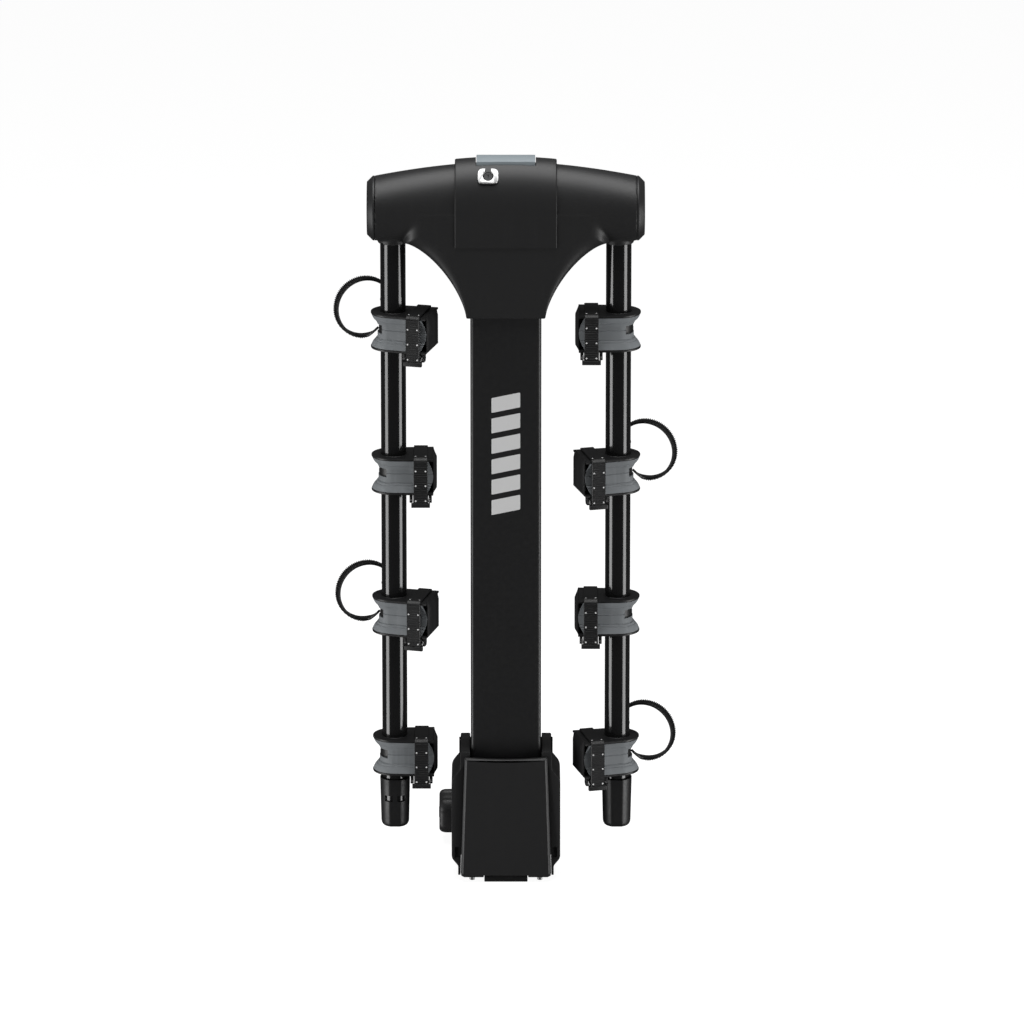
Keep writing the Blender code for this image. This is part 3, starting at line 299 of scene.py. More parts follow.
def strap_skin(path, across, half, low, high):
    """Flat strap along a path: low and high are its faces' heights at each point, edges rounded."""
    along = np.gradient(path, axis=0)
    across = np.broadcast_to(across, path.shape) / np.linalg.norm(across, axis=-1, keepdims=True)
    out = np.cross(along, across)
    out /= np.linalg.norm(out, axis=1)[:, None]
    share = np.array([-0.94, -1, -1, -0.94, 0.94, 1, 1, 0.94])
    level = np.array([0, 0.22, 0.78, 1, 1, 0.78, 0.22, 0])
    low, high, half = (np.broadcast_to(np.asarray(v, float), len(path)) for v in (low, high, half))
    height = low[:, None] + (high - low)[:, None] * level
    width = half[:, None] * share
    return closed_skin(path[:, None] + across[:, None] * width[..., None] + out[:, None] * height[..., None])


def level_surface(field, low, high, step):
    """Surface where field is zero. Each grid cell that it crosses gets one point, the mean of its
    edges' crossings pulled onto the zero level along the slope; each crossed edge gets a quad."""
    axes = [np.arange(a, b + step, step) for a, b in zip(low, high)]
    grid = np.stack(np.meshgrid(*axes, indexing="ij"), -1)
    value = field(grid.reshape(-1, 3)).reshape(grid.shape[:3])
    cells = tuple(n - 1 for n in value.shape)
    total, count = np.zeros((*cells, 3)), np.zeros(cells)
    crossings = []
    for axis in range(3):
        first = [slice(None)] * 3
        second = [slice(None)] * 3
        first[axis], second[axis] = slice(0, -1), slice(1, None)
        a, b = value[tuple(first)], value[tuple(second)]
        crossed = (a < 0) != (b < 0)
        share = np.where(crossed, a / np.where(crossed, a - b, 1), 0)[..., None]
        place = grid[tuple(first)] * (1 - share) + grid[tuple(second)] * share
        u, v = [k for k in range(3) if k != axis]
        for du in (0, 1):
            for dv in (0, 1):
                window = [slice(None)] * 3
                window[u] = slice(du, cells[u] + du)
                window[v] = slice(dv, cells[v] + dv)
                hit = crossed[tuple(window)]
                total += place[tuple(window)] * hit[..., None]
                count += hit
        crossings.append((axis, crossed, a < 0))
    number = np.cumsum(count.ravel() > 0).reshape(cells) - 1
    points = total[count > 0] / count[count > 0][:, None]
    faces = np.concatenate([crossing_quads(number, *item) for item in crossings])
    points = pulled_onto(field, points, step)
    return points, faces.tolist()


def crossing_quads(number, axis, crossed, starts_inside):
    """Quad of the four cells round each crossed edge along an axis, turned outwards."""
    u, v = (axis + 1) % 3, (axis + 2) % 3
    places = np.argwhere(crossed)
    inside = starts_inside[crossed]
    corners = []
    for du, dv in ((1, 1), (0, 1), (0, 0), (1, 0)):
        cell = places.copy()
        cell[:, u] -= du
        cell[:, v] -= dv
        corners.append(number[tuple(cell.T)])
    quads = np.stack(corners, 1)
    return np.where(inside[:, None], quads, quads[:, ::-1])


def slope_of(field, points, reach=2e-5):
    """Direction and steepness of a field by central differences."""
    shifts = np.eye(3) * reach
    return np.stack([field(points + s) - field(points - s) for s in shifts], 1) / (2 * reach)


def pulled_onto(field, points, step):
    """Points moved down the slope onto the zero level, never by more than half a step."""
    start = points.copy()
    for _ in range(4):
        slope = slope_of(field, points)
        steep = np.maximum(np.einsum("ij,ij->i", slope, slope), 0.2)
        points = points - slope * (field(points) / steep)[:, None]
        points = start + np.clip(points - start, -0.5 * step, 0.5 * step)
    return points


# ---------------------------------------------------------------- pieces
def gathered(shapes):
    """Several closed shapes as one list of points and faces."""
    points, faces, base = [], [], 0
    for shape in shapes:
        own_points, own_faces = turned_out(*shape)
        points.append(own_points)
        faces += [[index + base for index in face] for face in own_faces]
        base += len(own_points)
    return np.concatenate(points), faces


def make_mesh(name, shapes, sharp=35):
    """Mesh of closed shapes, shaded smooth up to an edge angle."""
    points, faces = gathered(shapes)
    mesh = bpy.data.meshes.new(name)
    mesh.from_pydata(points.tolist(), [], faces)
    mesh.shade_smooth()
    mesh.set_sharp_from_angle(angle=math.radians(sharp))
    mesh.validate()
    return mesh


def make_piece(name, shapes, finish, body, stands_for=(), sharp=35):
    """One piece of the object: its mesh, finish, the body that it rides and the nodes that it replaces."""
    mesh = make_mesh(name, shapes, sharp)
    piece = bpy.data.objects.new(name, mesh)
    bpy.context.scene.collection.objects.link(piece)
    material, slot_name = FINISHES[finish]
    mesh.materials.append(material())
    if stands_for:
        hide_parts(*stands_for)
    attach(piece, body)
    return piece


def with_modifier(piece, kind, **values):
    """Adds a modifier with its settings."""
    modifier = piece.modifiers.new(kind.title(), kind)
    for key, value in values.items():
        setattr(modifier, key, value)
    return modifier


def work_object(shapes):
    """Unfinished object that a cut works on or with."""
    item = bpy.data.objects.new("work", make_mesh("work", shapes))
    bpy.context.scene.collection.objects.link(item)
    return item


def cut(shapes, cutters):
    """Closed shapes with closed cutters taken away by exact booleans, as one shape."""
    target = work_object(shapes)
    tools = [work_object([cutter]) for cutter in cutters]
    for tool in tools:
        with_modifier(target, "BOOLEAN", operation="DIFFERENCE", solver="EXACT", object=tool)
    mesh = target.evaluated_get(bpy.context.evaluated_depsgraph_get()).to_mesh()
    points = np.empty(3 * len(mesh.vertices))
    mesh.vertices.foreach_get("co", points)
    faces = [list(polygon.vertices) for polygon in mesh.polygons]
    if not faces:
        raise RuntimeError("A cut left nothing")
    for item in (target, *tools):
        bpy.data.objects.remove(item)
    return points.reshape(-1, 3), faces


def mirrored(shape):
    """The same shape on the other side of the middle plane."""
    points, faces = shape
    return np.asarray(points) * (-1, 1, 1), faces


def both_sides(shape):
    """A shape and its mirror image."""
    return [shape, mirrored(shape)]


# ---------------------------------------------------------------- materials
def new_group(name, inputs, outputs):
    """Empty shader node group with named value inputs and outputs."""
    group = bpy.data.node_groups.new(name, "ShaderNodeTree")
    for label, default in inputs.items():
        socket = group.interface.new_socket(label, in_out="INPUT", socket_type="NodeSocketFloat")
        socket.default_value = default
    for label in outputs:
        group.interface.new_socket(label, in_out="OUTPUT", socket_type="NodeSocketFloat")
    source = group.nodes.new("NodeGroupInput")
    target = group.nodes.new("NodeGroupOutput")
    return group, source, target


def add_node(tree, kind, links=None, **values):
    """Node with settings and links; a link is (input, output socket)."""
    node = tree.nodes.new(kind)
    for key, value in values.items():
        if hasattr(node, key):
            setattr(node, key, value)
        else:
            node.inputs[key].default_value = value
    for key, socket in (links or {}).items():
        tree.links.new(socket, node.inputs[key])
    return node


def grain_group():
    """Moulding or powder grain: fine noise at the scale given, mixed with coarser noise."""
    if "grain" in bpy.data.node_groups:
        return bpy.data.node_groups["grain"]
    group, source, target = new_group("grain", {"Scale": 2500.0, "Coarse": 0.3}, ["Height", "Spread"])
    place = add_node(group, "ShaderNodeTexCoord").outputs["Object"]
    fine = add_node(group, "ShaderNodeTexNoise", {"Vector": place, "Scale": source.outputs["Scale"]},
                    Detail=3.0)
    wide_scale = add_node(group, "ShaderNodeMath", {0: source.outputs["Scale"]}, operation="MULTIPLY")
    wide_scale.inputs[1].default_value = 0.12
    wide = add_node(group, "ShaderNodeTexNoise", {"Vector": place, "Scale": wide_scale.outputs[0]},
                    Detail=2.0)
    share = add_node(group, "ShaderNodeMath", {0: wide.outputs[0], 1: source.outputs["Coarse"]},
                     operation="MULTIPLY")
    height = add_node(group, "ShaderNodeMath", {0: fine.outputs[0], 1: share.outputs[0]}, operation="ADD")
    group.links.new(height.outputs[0], target.inputs["Height"])
    group.links.new(wide.outputs[0], target.inputs["Spread"])
    return group


def wear_group():
    """Handling marks: broad soft patches and a few fine streaks, from 0 to 1."""
    if "wear" in bpy.data.node_groups:
        return bpy.data.node_groups["wear"]
    group, source, target = new_group("wear", {"Scale": 18.0, "Amount": 0.5}, ["Mask"])
    place = add_node(group, "ShaderNodeTexCoord").outputs["Object"]
    patch = add_node(group, "ShaderNodeTexNoise", {"Vector": place, "Scale": source.outputs["Scale"]},
                     Detail=5.0)
    stretch = add_node(group, "ShaderNodeMapping", {"Vector": place}, Scale=(160.0, 160.0, 9.0))
    streak = add_node(group, "ShaderNodeTexNoise", {"Vector": stretch.outputs[0]}, Scale=1.0, Detail=2.0)
    marks = add_node(group, "ShaderNodeMapRange", {"Value": streak.outputs[0]})
    marks.inputs["From Min"].default_value = 0.55
    marks.inputs["From Max"].default_value = 0.75
    mixed = add_node(group, "ShaderNodeMath", {0: patch.outputs[0], 1: marks.outputs[0]}, operation="ADD")
    final = add_node(group, "ShaderNodeMath", {0: mixed.outputs[0], 1: source.outputs["Amount"]},
                     operation="MULTIPLY")
    group.links.new(final.outputs[0], target.inputs["Mask"])
    return group


def surface(name, color, roughness, metallic=0.0, grain=2500.0, coarse=0.3, bump=0.15, depth=0.0002,
            wear=0.3, spread=0.10, lift=0.35, coat=0.0, coat_roughness=0.1, specular=0.5):
    """Principled finish with grain in its bump and roughness, and wear in its colour."""
    name = "finish_" + name
    if name in bpy.data.materials:
        return bpy.data.materials[name]
    material = bpy.data.materials.new(name)
    material.use_nodes = True
    tree = material.node_tree
    shader = tree.nodes["Principled BSDF"]
    grain_node = add_node(tree, "ShaderNodeGroup", node_tree=grain_group())
    grain_node.inputs["Scale"].default_value = grain
    grain_node.inputs["Coarse"].default_value = coarse
    wear_node = add_node(tree, "ShaderNodeGroup", node_tree=wear_group())
    wear_node.inputs["Amount"].default_value = wear
    tint = add_node(tree, "ShaderNodeMix", data_type="RGBA")
    share, base, worn = tint.inputs[0], tint.inputs[6], tint.inputs[7]
    tree.links.new(wear_node.outputs["Mask"], share)
    base.default_value = (*color, 1)
    worn.default_value = (*(channel * (1 + lift) for channel in color), 1)
    rough = add_node(tree, "ShaderNodeMapRange", {"Value": grain_node.outputs["Spread"]})
    rough.inputs["To Min"].default_value = max(roughness - spread, 0.02)
    rough.inputs["To Max"].default_value = roughness + spread
    relief = add_node(tree, "ShaderNodeBump", {"Height": grain_node.outputs["Height"]}, Strength=bump,
                      Distance=depth)
    tree.links.new(tint.outputs[2], shader.inputs["Base Color"])
    tree.links.new(rough.outputs[0], shader.inputs["Roughness"])
    tree.links.new(relief.outputs[0], shader.inputs["Normal"])
    shader.inputs["Metallic"].default_value = metallic
    shader.inputs["Coat Weight"].default_value = coat
    shader.inputs["Coat Roughness"].default_value = coat_roughness
    shader.inputs["Specular IOR Level"].default_value = specular
    return material


def colors():
    """The user's chosen colours."""
    return bpy.context.scene.rack_finishes


def details():
    """The user's chosen sizes of the small details."""
    return bpy.context.scene.rack_details


def moulded_black():
    """Fine grained black moulding of the head and foot covers."""
    return surface("moulded_black", colors().moulded, 0.47, grain=2600, bump=0.06, wear=0.25,
                   spread=0.05, specular=0.45)


def powder_black():
    """Satin powder coat of the mast and steel parts."""
    return surface("powder_black", colors().powder, 0.42, grain=1500, coarse=0.6, bump=0.06, wear=0.2)


def gloss_tube():
    """Gloss powder coat of the arm tubes."""
    return surface("gloss_black_tube", colors().tube, 0.13, grain=700, coarse=0.5, bump=0.004, wear=0.25,
                   spread=0.03,
                   coat=0.2, coat_roughness=0.06)


def nylon_black():
    """Satin black nylon of the cradle plates, caps and knob."""
    return surface("nylon_black", colors().nylon, 0.44, grain=1800, bump=0.06, wear=0.35)


def strap_rubber():
    """Black rubber of the ladder and anti-sway straps."""
    return surface("strap_rubber", colors().strap, 0.46, grain=3000, bump=0.06, wear=0.4)


def strap_dot():
    """White printed dots on the straps."""
    return surface("strap_dot", colors().dots, 0.55, grain=2500, bump=0.1, wear=0.3, lift=-0.3)


def pad_grey():
    """Soft grey rubber of the saddles."""
    return surface("pad_grey", colors().pad, 0.62, grain=1600, coarse=0.5, bump=0.22, wear=0.5, lift=0.3)


def paddle_grey():
    """Grey moulding of the release paddle."""
    return surface("paddle_grey", colors().paddle, 0.42, grain=2200, bump=0.2, wear=0.3, lift=0.15)


def plated_steel():
    """Zinc plated steel of bolts and latch parts."""
    return surface("plated_steel", colors().plated, 0.32, metallic=1.0, grain=900, coarse=0.6, bump=0.08,
                   wear=0.6,
                   lift=-0.25)


def white_nylon():
    """Plain nylon of the bearing liner."""
    return surface("white_nylon", (0.62, 0.62, 0.58), 0.5, grain=1500, bump=0.1)


def lock_black():
    """Black lock barrel."""
    return surface("lock_black", (0.012, 0.012, 0.013), 0.3, metallic=0.4, grain=1200, bump=0.06)


def reflector():
    """Pale retroreflective sheet with a fine cell pattern."""
    return surface("reflector", colors().reflector, 0.4, grain=1400, coarse=0.15, bump=0.2, wear=0.2,
                   lift=-0.1)


FINISHES = {
    "moulded": (moulded_black, "moulded_black"),
    "powder": (powder_black, "powder_black"),
    "tube": (gloss_tube, "gloss_black_tube"),
    "nylon": (nylon_black, "nylon_black"),
    "cap": (nylon_black, "moulded_black"),
    "strap": (strap_rubber, "strap_rubber"),
    "dots": (strap_dot, "strap_rubber"),
    "pad": (pad_grey, "grey_pad"),
    "paddle": (paddle_grey, "grey_paddle"),
    "plated": (plated_steel, "plated_steel"),
    "liner": (white_nylon, "white_nylon"),
    "lock": (lock_black, "lock_black"),
    "reflector": (reflector, "powder_black"),
}
NODE_FINISHES = {
    "powder_black": "powder", "gloss_black_tube": "tube", "moulded_black": "moulded", "nylon_black": "nylon",
    "strap_rubber": "strap", "grey_pad": "pad", "grey_paddle": "paddle", "plated_steel": "plated",
    "white_nylon": "liner", "lock_black": "lock",
}


# ---------------------------------------------------------------- head
def head_top(x):
    """Height of the head's top above the fold axis: full in the middle, falling to the ends as a power."""
    share = np.clip(np.abs(x) / HEAD_HALF, 0, 1)
    return HEAD_RISE + (HEAD_RADIUS - HEAD_RISE) * share ** 1.8


def skirt_side(x, drop):
    """Distance outside the skirt's hollow side curve, a quarter of a superellipse of power 1.5."""
    wide, tall = SKIRT_SPREAD - SKIRT_HALF, SKIRT_DROP - HEAD_RADIUS
    across = np.maximum(SKIRT_SPREAD - np.abs(x), 1e-6) / wide
    down = np.maximum(SKIRT_DROP - drop, 1e-6) / tall
    reach = (across ** 1.5 + down ** 1.5) ** (1 / 1.5)
    slope = np.hypot(across ** 0.5 / wide, down ** 0.5 / tall) / reach ** 0.5
    return np.maximum((1 - reach) / slope, np.abs(x) - SKIRT_SPREAD)


def soft_max(a, b, reach):
    """Larger of two values, rounded where they are nearer than the reach."""
    blend = np.maximum(reach - np.abs(a - b), 0) / reach
    return np.maximum(a, b) + blend * blend * reach / 4


def soft_min(a, b, reach):
    """Smaller of two values, rounded where they are nearer than the reach."""
    return -soft_max(-a, -b, reach)


def hull_field(x, y, z):
    """Crosswise hull: distance from an axis along X, with the upper half stretched to the head's top."""
    stretch = np.where(z > 0, HEAD_RADIUS / head_top(x), 1.0)
    level = np.maximum(np.hypot(y, z * stretch), 1e-6)
    return (level - HEAD_RADIUS) * level / np.maximum(np.hypot(y, z * stretch ** 2), 1e-6)


def skirt_field(x, y, z):
    """Skirt: inside a hollow side curve, behind a front that leans back, with rounded edges."""
    drop = -z
    front = -HEAD_RADIUS + SKIRT_LEAN * np.clip(drop / SKIRT_DROP, 0, 2) ** 2 - y
    side = skirt_side(x, drop)
    share = np.clip((SKIRT_DROP - drop) / (SKIRT_DROP - HEAD_RADIUS), 0, 1)
    body = soft_max(front, side, 0.0008 + SKIRT_ROUND * share ** 1.35)
    body = soft_max(body, y - SKIRT_REAR, 0.002)
    body = soft_max(body, drop - SKIRT_DROP, 0.002)
    return np.maximum(body, z)


def head_field(points):
    """Shell of the head about the fold axis: hull, skirt and collars blended, hollowed and opened."""
    x, y, z = (np.asarray(points) - FOLD).T
    outer = soft_min(hull_field(x, y, z), skirt_field(x, y, z), 0.002)
    around = np.hypot(np.abs(x) - ARM_X, y)
    collar = np.maximum(around - COLLAR_RADIUS, np.maximum(COLLAR_FOOT - z, z + 0.025))
    outer = soft_min(outer, collar, 0.004)
    shell = soft_max(outer, -(outer + HEAD_WALL), 0.0008)
    collar_wall = np.maximum(np.maximum(collar, ARM_RADIUS + GAP - around), z + 0.034)
    shell = np.minimum(shell, collar_wall)
    half = MAST_HIGH[0] + 0.0018
    way = np.maximum.reduce([np.abs(x) - half, -y - 0.0269, z - 0.0279])
    pawl = np.maximum.reduce([np.abs(x) - 0.0055, np.abs(y - 0.0035) - 0.0125, 0.045 - z])
    arm = np.maximum(around - ARM_RADIUS - GAP, z + 0.010)
    shell = soft_max(shell, -way, 0.001)
    rel = np.asarray(points) - LOCK_POINT
    along = rel @ LOCK_AXIS
    bore = np.maximum(np.linalg.norm(rel - along[:, None] * LOCK_AXIS, axis=1) - LOCK_RADIUS - GAP,
                      -0.011 - along)
    shell = np.maximum(np.maximum(np.maximum(shell, -pawl), -arm), -bore)
    return np.maximum(shell, np.abs(x) - HEAD_HALF)


def head_section(x, grow=0.0, scale=1.0, count=96):
    """Ring about the fold axis at x: round below, taller above."""
    turn = np.linspace(0, 2 * math.pi, count, endpoint=False)
    flat = (HEAD_RADIUS + grow) * np.cos(turn)
    tall = np.where(np.sin(turn) > 0, head_top(x) + grow, HEAD_RADIUS + grow) * np.sin(turn)
    return stand(scale * np.stack([flat, tall], 1) + FOLD[1:], "X", x)


def end_cap():
    """Cap on the head's end: the end section runs straight, then narrows along a chamfer to a flat face."""
    rings = []
    for x, size in ((HEAD_HALF + GAP, 0.92), (HEAD_HALF + GAP, 0.990), (HEAD_HALF + GAP + 0.0003, 1.0),
                    (HEAD_HALF + 0.0022, 1.0), (HEAD_HALF + 0.0030, 0.990), (HEAD_END - 0.0012, 0.845),
                    (HEAD_END - 0.0003, 0.825), (HEAD_END, 0.800)):
        ring = head_section(HEAD_HALF, 0, size)
        ring[:, 0] = x
        rings.append(ring)
    return closed_skin(rings)


def cover_arc(grow_foot, grow_top, x, count=60):
    """Arc in (y, z) over the head from its rear top to its front foot, at a distance from its skin."""
    turn = np.linspace(COVER_REAR_ANGLE, math.pi, count)
    grow = grow_top + (grow_foot - grow_top) * np.clip((turn / math.pi - 0.5) * 2, 0, 1)
    flat = (HEAD_RADIUS + grow) * np.cos(turn)
    tall = (head_top(x) + grow) * np.sin(turn)
    drop = np.linspace(0, COVER_DROP, 20)[1:]
    front = -HEAD_RADIUS + SKIRT_LEAN * (drop / SKIRT_DROP) ** 2 - grow_foot
    foot = np.stack([front, -drop], 1)
    return np.concatenate([np.stack([flat, tall], 1), foot]) + FOLD[1:]


# ---------------------------------------------------------------- cradles
def saddle_plan(edge, taper=SADDLE_TAPER, end=SADDLE_INNER, arc=41, leg=14):
    """Plan at each distance from the arm's axis: a half circle outboard and two legs spreading inwards."""
    edge = np.asarray(edge, float)[..., None]
    turn = np.linspace(-math.pi / 2, math.pi / 2, arc)
    nose = np.stack([edge * np.cos(turn), edge * np.sin(turn)], -1)
    share = np.linspace(1, 0, leg)[:-1]
    x = np.broadcast_to(-end * share, nose.shape[:-2] + (leg - 1,))
    y = edge + taper * share
    front = np.stack([x, -y], -1)
    back = np.stack([x, y], -1)[..., ::-1, :]
    return np.concatenate([front, nose, back], -2)


def nose_share(arc=41, leg=14):
    """How near each plan point is to the outboard nose, from 0 on the legs to 1 at the nose's middle."""
    turn = np.linspace(-math.pi / 2, math.pi / 2, arc)
    flat = np.zeros(leg - 1)
    return np.concatenate([flat, np.cos(turn) ** 2, flat])


def pad_skin():
    """Saddle pad: its wall's section, waisted and grooved outside and straight inside, carried round.
    The waist is flat in the middle and flares smoothly to both edges; each groove is a bell curve."""
    level = np.linspace(-1, 1, 151)
    height = PAD_HALF_HEIGHT * level
    grooves = sum(np.exp(-((height - place) / 0.00055) ** 2) for place in PAD_GROOVES)
    step = 0.0005 * (1 / (1 + np.exp((height - 0.0128) / 0.0003))
                     - 1 / (1 + np.exp((height + 0.0098) / 0.0003)))
    lip = 0.0009 * np.clip((np.abs(level) - 0.80) / 0.20, 0, 1) ** 2
    flare = np.clip((np.abs(level) - 0.34) / 0.60, 0, 1)
    waist = np.concatenate([1 - flare * flare * (3 - 2 * flare), np.zeros(5)])
    outer = PAD_EDGE - 0.00070 * grooves - step + lip
    edge = np.concatenate([outer, np.full(5, ARM_RADIUS + 0.0024)])
    height = np.concatenate([height, PAD_HALF_HEIGHT * np.linspace(0.985, -0.985, 5)])
    depth = waist[:, None] * (PAD_LEG_WAIST + (PAD_NOSE_WAIST - PAD_LEG_WAIST) * nose_share())
    plan = saddle_plan(edge)
    outward = np.maximum(plan, (0, -1))
    outward /= np.linalg.norm(outward, axis=-1, keepdims=True)
    plan = plan - outward * depth[..., None]
    bulge = np.clip(-plan[..., 0] / SADDLE_INNER - 0.72, 0, 1) / 0.28
    plan[..., 0] -= PAD_BULGE * (bulge ** 2) * (np.cos(height * math.pi / 2 / PAD_HALF_HEIGHT)[:, None] - 1)
    rings = np.concatenate([plan, np.broadcast_to(height[:, None, None], plan.shape[:2] + (1,))], -1)
    return closed_skin(np.swapaxes(rings, 0, 1))


def in_cradle(shape, side, yaw, center):
    """Shape in a cradle's own frame, +X outboard, put in its place on the rack."""
    points, faces = shape
    points = np.asarray(points) * (side, 1, 1)
    c, s = math.cos(yaw), math.sin(yaw)
    turn = np.array([[c, -s, 0], [s, c, 0], [0, 0, 1]])
    return points @ turn.T + center, faces


def strap_line():
    """Side view (y, z) of the ladder strap: from the rear bail over the top plate and down its front."""
    top = PAD_HALF_HEIGHT + GAP + PLATE_LEAF
    back = -PLATE_EDGE - SADDLE_TAPER - 0.0005
    line = [(STRAP_REAR, top + 0.0020), (0.010, top + 0.0020), (-0.006, top + 0.0016),
            (-0.020, top + 0.0012),
            (back + 0.0028, top + 0.0010), (back - 0.0002, top - 0.0018), (back - 0.0006, top - 0.008),
            (back - 0.0004, 0.006), (back - 0.0004, -0.008), (back - 0.0004, -0.022),
            (back - 0.0004, -BUCKLE_FOOT + 0.0005)]
    path = resampled(line, 420)
    return np.concatenate([np.full((len(path), 1), -STRAP_OFFSET), path], 1)


def loop_line(yaw):
    """Anti-sway strap's path and width direction: out of its slot, round a circle, behind the arm."""
    out, back, up = LOOP_CENTER
    angles = np.radians(np.arange(-90, 151, 10))
    reach = LOOP_RADIUS * np.cos(angles)
    arc = np.stack([out + reach * math.cos(LOOP_YAW), back - reach * math.sin(LOOP_YAW),
                    up + LOOP_RADIUS * np.sin(angles)], 1)
    start = []
    for distance, height in ((ARM_RADIUS + 0.0048, -0.001), (0.027, -0.007)):
        start.append((distance * math.cos(CRADLE_YAW), distance * math.sin(CRADLE_YAW), height))
    stop = [(0.001, 0.0235, 0.034), (-0.001, 0.0235, PAD_HALF_HEIGHT + PLATE_LEAF + 2 * GAP)]
    path = np.concatenate([start, arc, stop])
    across = np.tile((math.sin(LOOP_YAW), math.cos(LOOP_YAW), 0.0), (len(path), 1))
    across[:2] = (-math.sin(CRADLE_YAW), math.cos(CRADLE_YAW), 0.0)
    c, s = math.cos(-yaw), math.sin(-yaw)
    turn = np.array([[c, -s, 0], [s, c, 0], [0, 0, 1]])
    line = resampled(np.concatenate([path @ turn.T, across @ turn.T], 1), 640)
    return line[:, :3], line[:, 3:]


def looped_cradles():
    """Each cradle: its body, side, place from the top, centre, and turn about the arm."""
    for side, arm in ((-1, "left"), (1, "right")):
        for index in range(4):
            body = "cradle_%s_%d" % (arm, index + 1)
            looped = body + "_loop" in frame["nodes"]
            yaw = side * CRADLE_YAW if looped else 0.0
            center = np.array(JOINTS[body + "_swivel"]["pos_m"])
            yield body, side, looped, yaw, center


def plate_round_hub(low, high):
    """Saddle plate with rounded edges and the hub's hole: its wall's section carried round the plan."""
    bevel = 0.0007
    plan = saddle_plan(PLATE_EDGE).reshape(-1, 2)
    turn = np.arctan2(plan[:, 1], plan[:, 0])
    hole = np.stack([np.cos(turn), np.sin(turn)], 1) * (ARM_RADIUS + 0.0007)
    stations = [(plan, low + bevel), (plan, high - bevel), (inset(plan, bevel * 0.3), high - 0.3 * bevel),
                (inset(plan, bevel), high), (hole, high), (hole, low), (inset(plan, bevel), low),
                (inset(plan, bevel * 0.3), low + 0.3 * bevel)]
    return closed_skin([stand(outline, "Z", along) for outline, along in stations], wrap=True)


def core_shapes():
    """Cradle core: hub, upper and lower plates, spine and the chamfered frame at the inner end."""
    inner = PAD_HALF_HEIGHT + GAP
    outer = inner + PLATE_LEAF
    hub = pipe(circle(ARM_RADIUS + 0.0021), circle(ARM_RADIUS + GAP), "Z", -outer - 0.0003, outer + 0.0003,
               0.0003)
    spine = brick((-SADDLE_INNER - 0.001, -0.008, -inner - 0.001),
                  (-ARM_RADIUS - 0.001, 0.008, inner + 0.001), 0.0004)
    plates = [plate_round_hub(inner, outer), plate_round_hub(-outer, -inner)]
    return [hub, spine, *plates, frame_shape(outer)]


def frame_shape(outer):
    """Inner end frame: a side section with a cut top corner, whose thickness shrinks to the front and
    back along half an ellipse."""
    top = outer + 0.0016
    inner, reach = -SADDLE_INNER + 0.0005, 0.0040
    section = np.array([(0, -outer), (1, -outer + 0.006), (1, top - 0.0085), (0.12, top), (0, top)])
    rings = []
    for turn in np.linspace(-1, 1, 25) * 0.96:
        width = reach * (1 - turn ** 4) + 0.0008
        outline = np.stack([inner - section[:, 0] * width, section[:, 1]], 1)
        rings.append(stand(outline, "Y", turn * FRAME_HALF))
    return closed_skin(rings)


def round_rod(path, radius, count=14):
    """Round rod along a path: circles across it, turned as little as possible from point to point."""
    along = np.gradient(path, axis=0)
    along /= np.linalg.norm(along, axis=1)[:, None]
    side = np.cross(along, np.eye(3)[np.argmin(np.abs(along[0]))])
    side /= np.linalg.norm(side, axis=1)[:, None]
    other = np.cross(along, side)
    turn = np.linspace(0, 2 * math.pi, count, endpoint=False)
    spokes = side[:, None] * np.cos(turn)[:, None] + other[:, None] * np.sin(turn)[:, None]
    return closed_skin(path[:, None] + radius * spokes)


def pad_window():
    """Cutter for the strap's window in the pad's nose: a block bent round the arm."""
    turn = np.linspace(*WINDOW_SPAN, 17)
    low, high = WINDOW_LEVEL - WINDOW_HALF, WINDOW_LEVEL + WINDOW_HALF
    near, far = ARM_RADIUS + 0.0002, PAD_EDGE + 0.004
    rings = []
    for reach, level in ((near, low), (far, low), (far, high), (near, high)):
        rings.append(np.stack([reach * np.cos(turn), reach * np.sin(turn), np.full(17, level)], 1))
    return closed_skin(np.swapaxes(np.array(rings), 0, 1))


def strap_shapes():
    """Ladder strap: smooth over the top, ribbed down the front, ending in a foot; and its buckle."""
    path = strap_line()
    travelled = np.concatenate([[0], np.cumsum(np.linalg.norm(np.diff(path, axis=0), axis=1))])
    front_start = travelled[np.argmax(path[:, 1] < -PLATE_EDGE - 0.001)] + 0.004
    phase = (travelled - front_start) / details().rib_pitch
    rib = np.where(phase > 0, np.clip(6 * (np.abs((phase % 1) - 0.5) - 0.30), -0.35, 0.35), 0)
    high = STRAP_THICKNESS / 2 + 0.0003 - 0.0011 * np.clip(rib, 0, 1)
    ribbon = strap_skin(path, (1, 0, 0), STRAP_HALF, np.full(len(path), -STRAP_THICKNESS / 2), high)
    face = path[-1, 1]
    foot = brick((-STRAP_OFFSET - 0.0118, face - 0.0024, -BUCKLE_FOOT - 0.0005),
                 (-STRAP_OFFSET + 0.0118, face + 0.0024, -BUCKLE_FOOT + 0.0050), 0.0006)
    return [ribbon, foot], buckle_shapes(face)


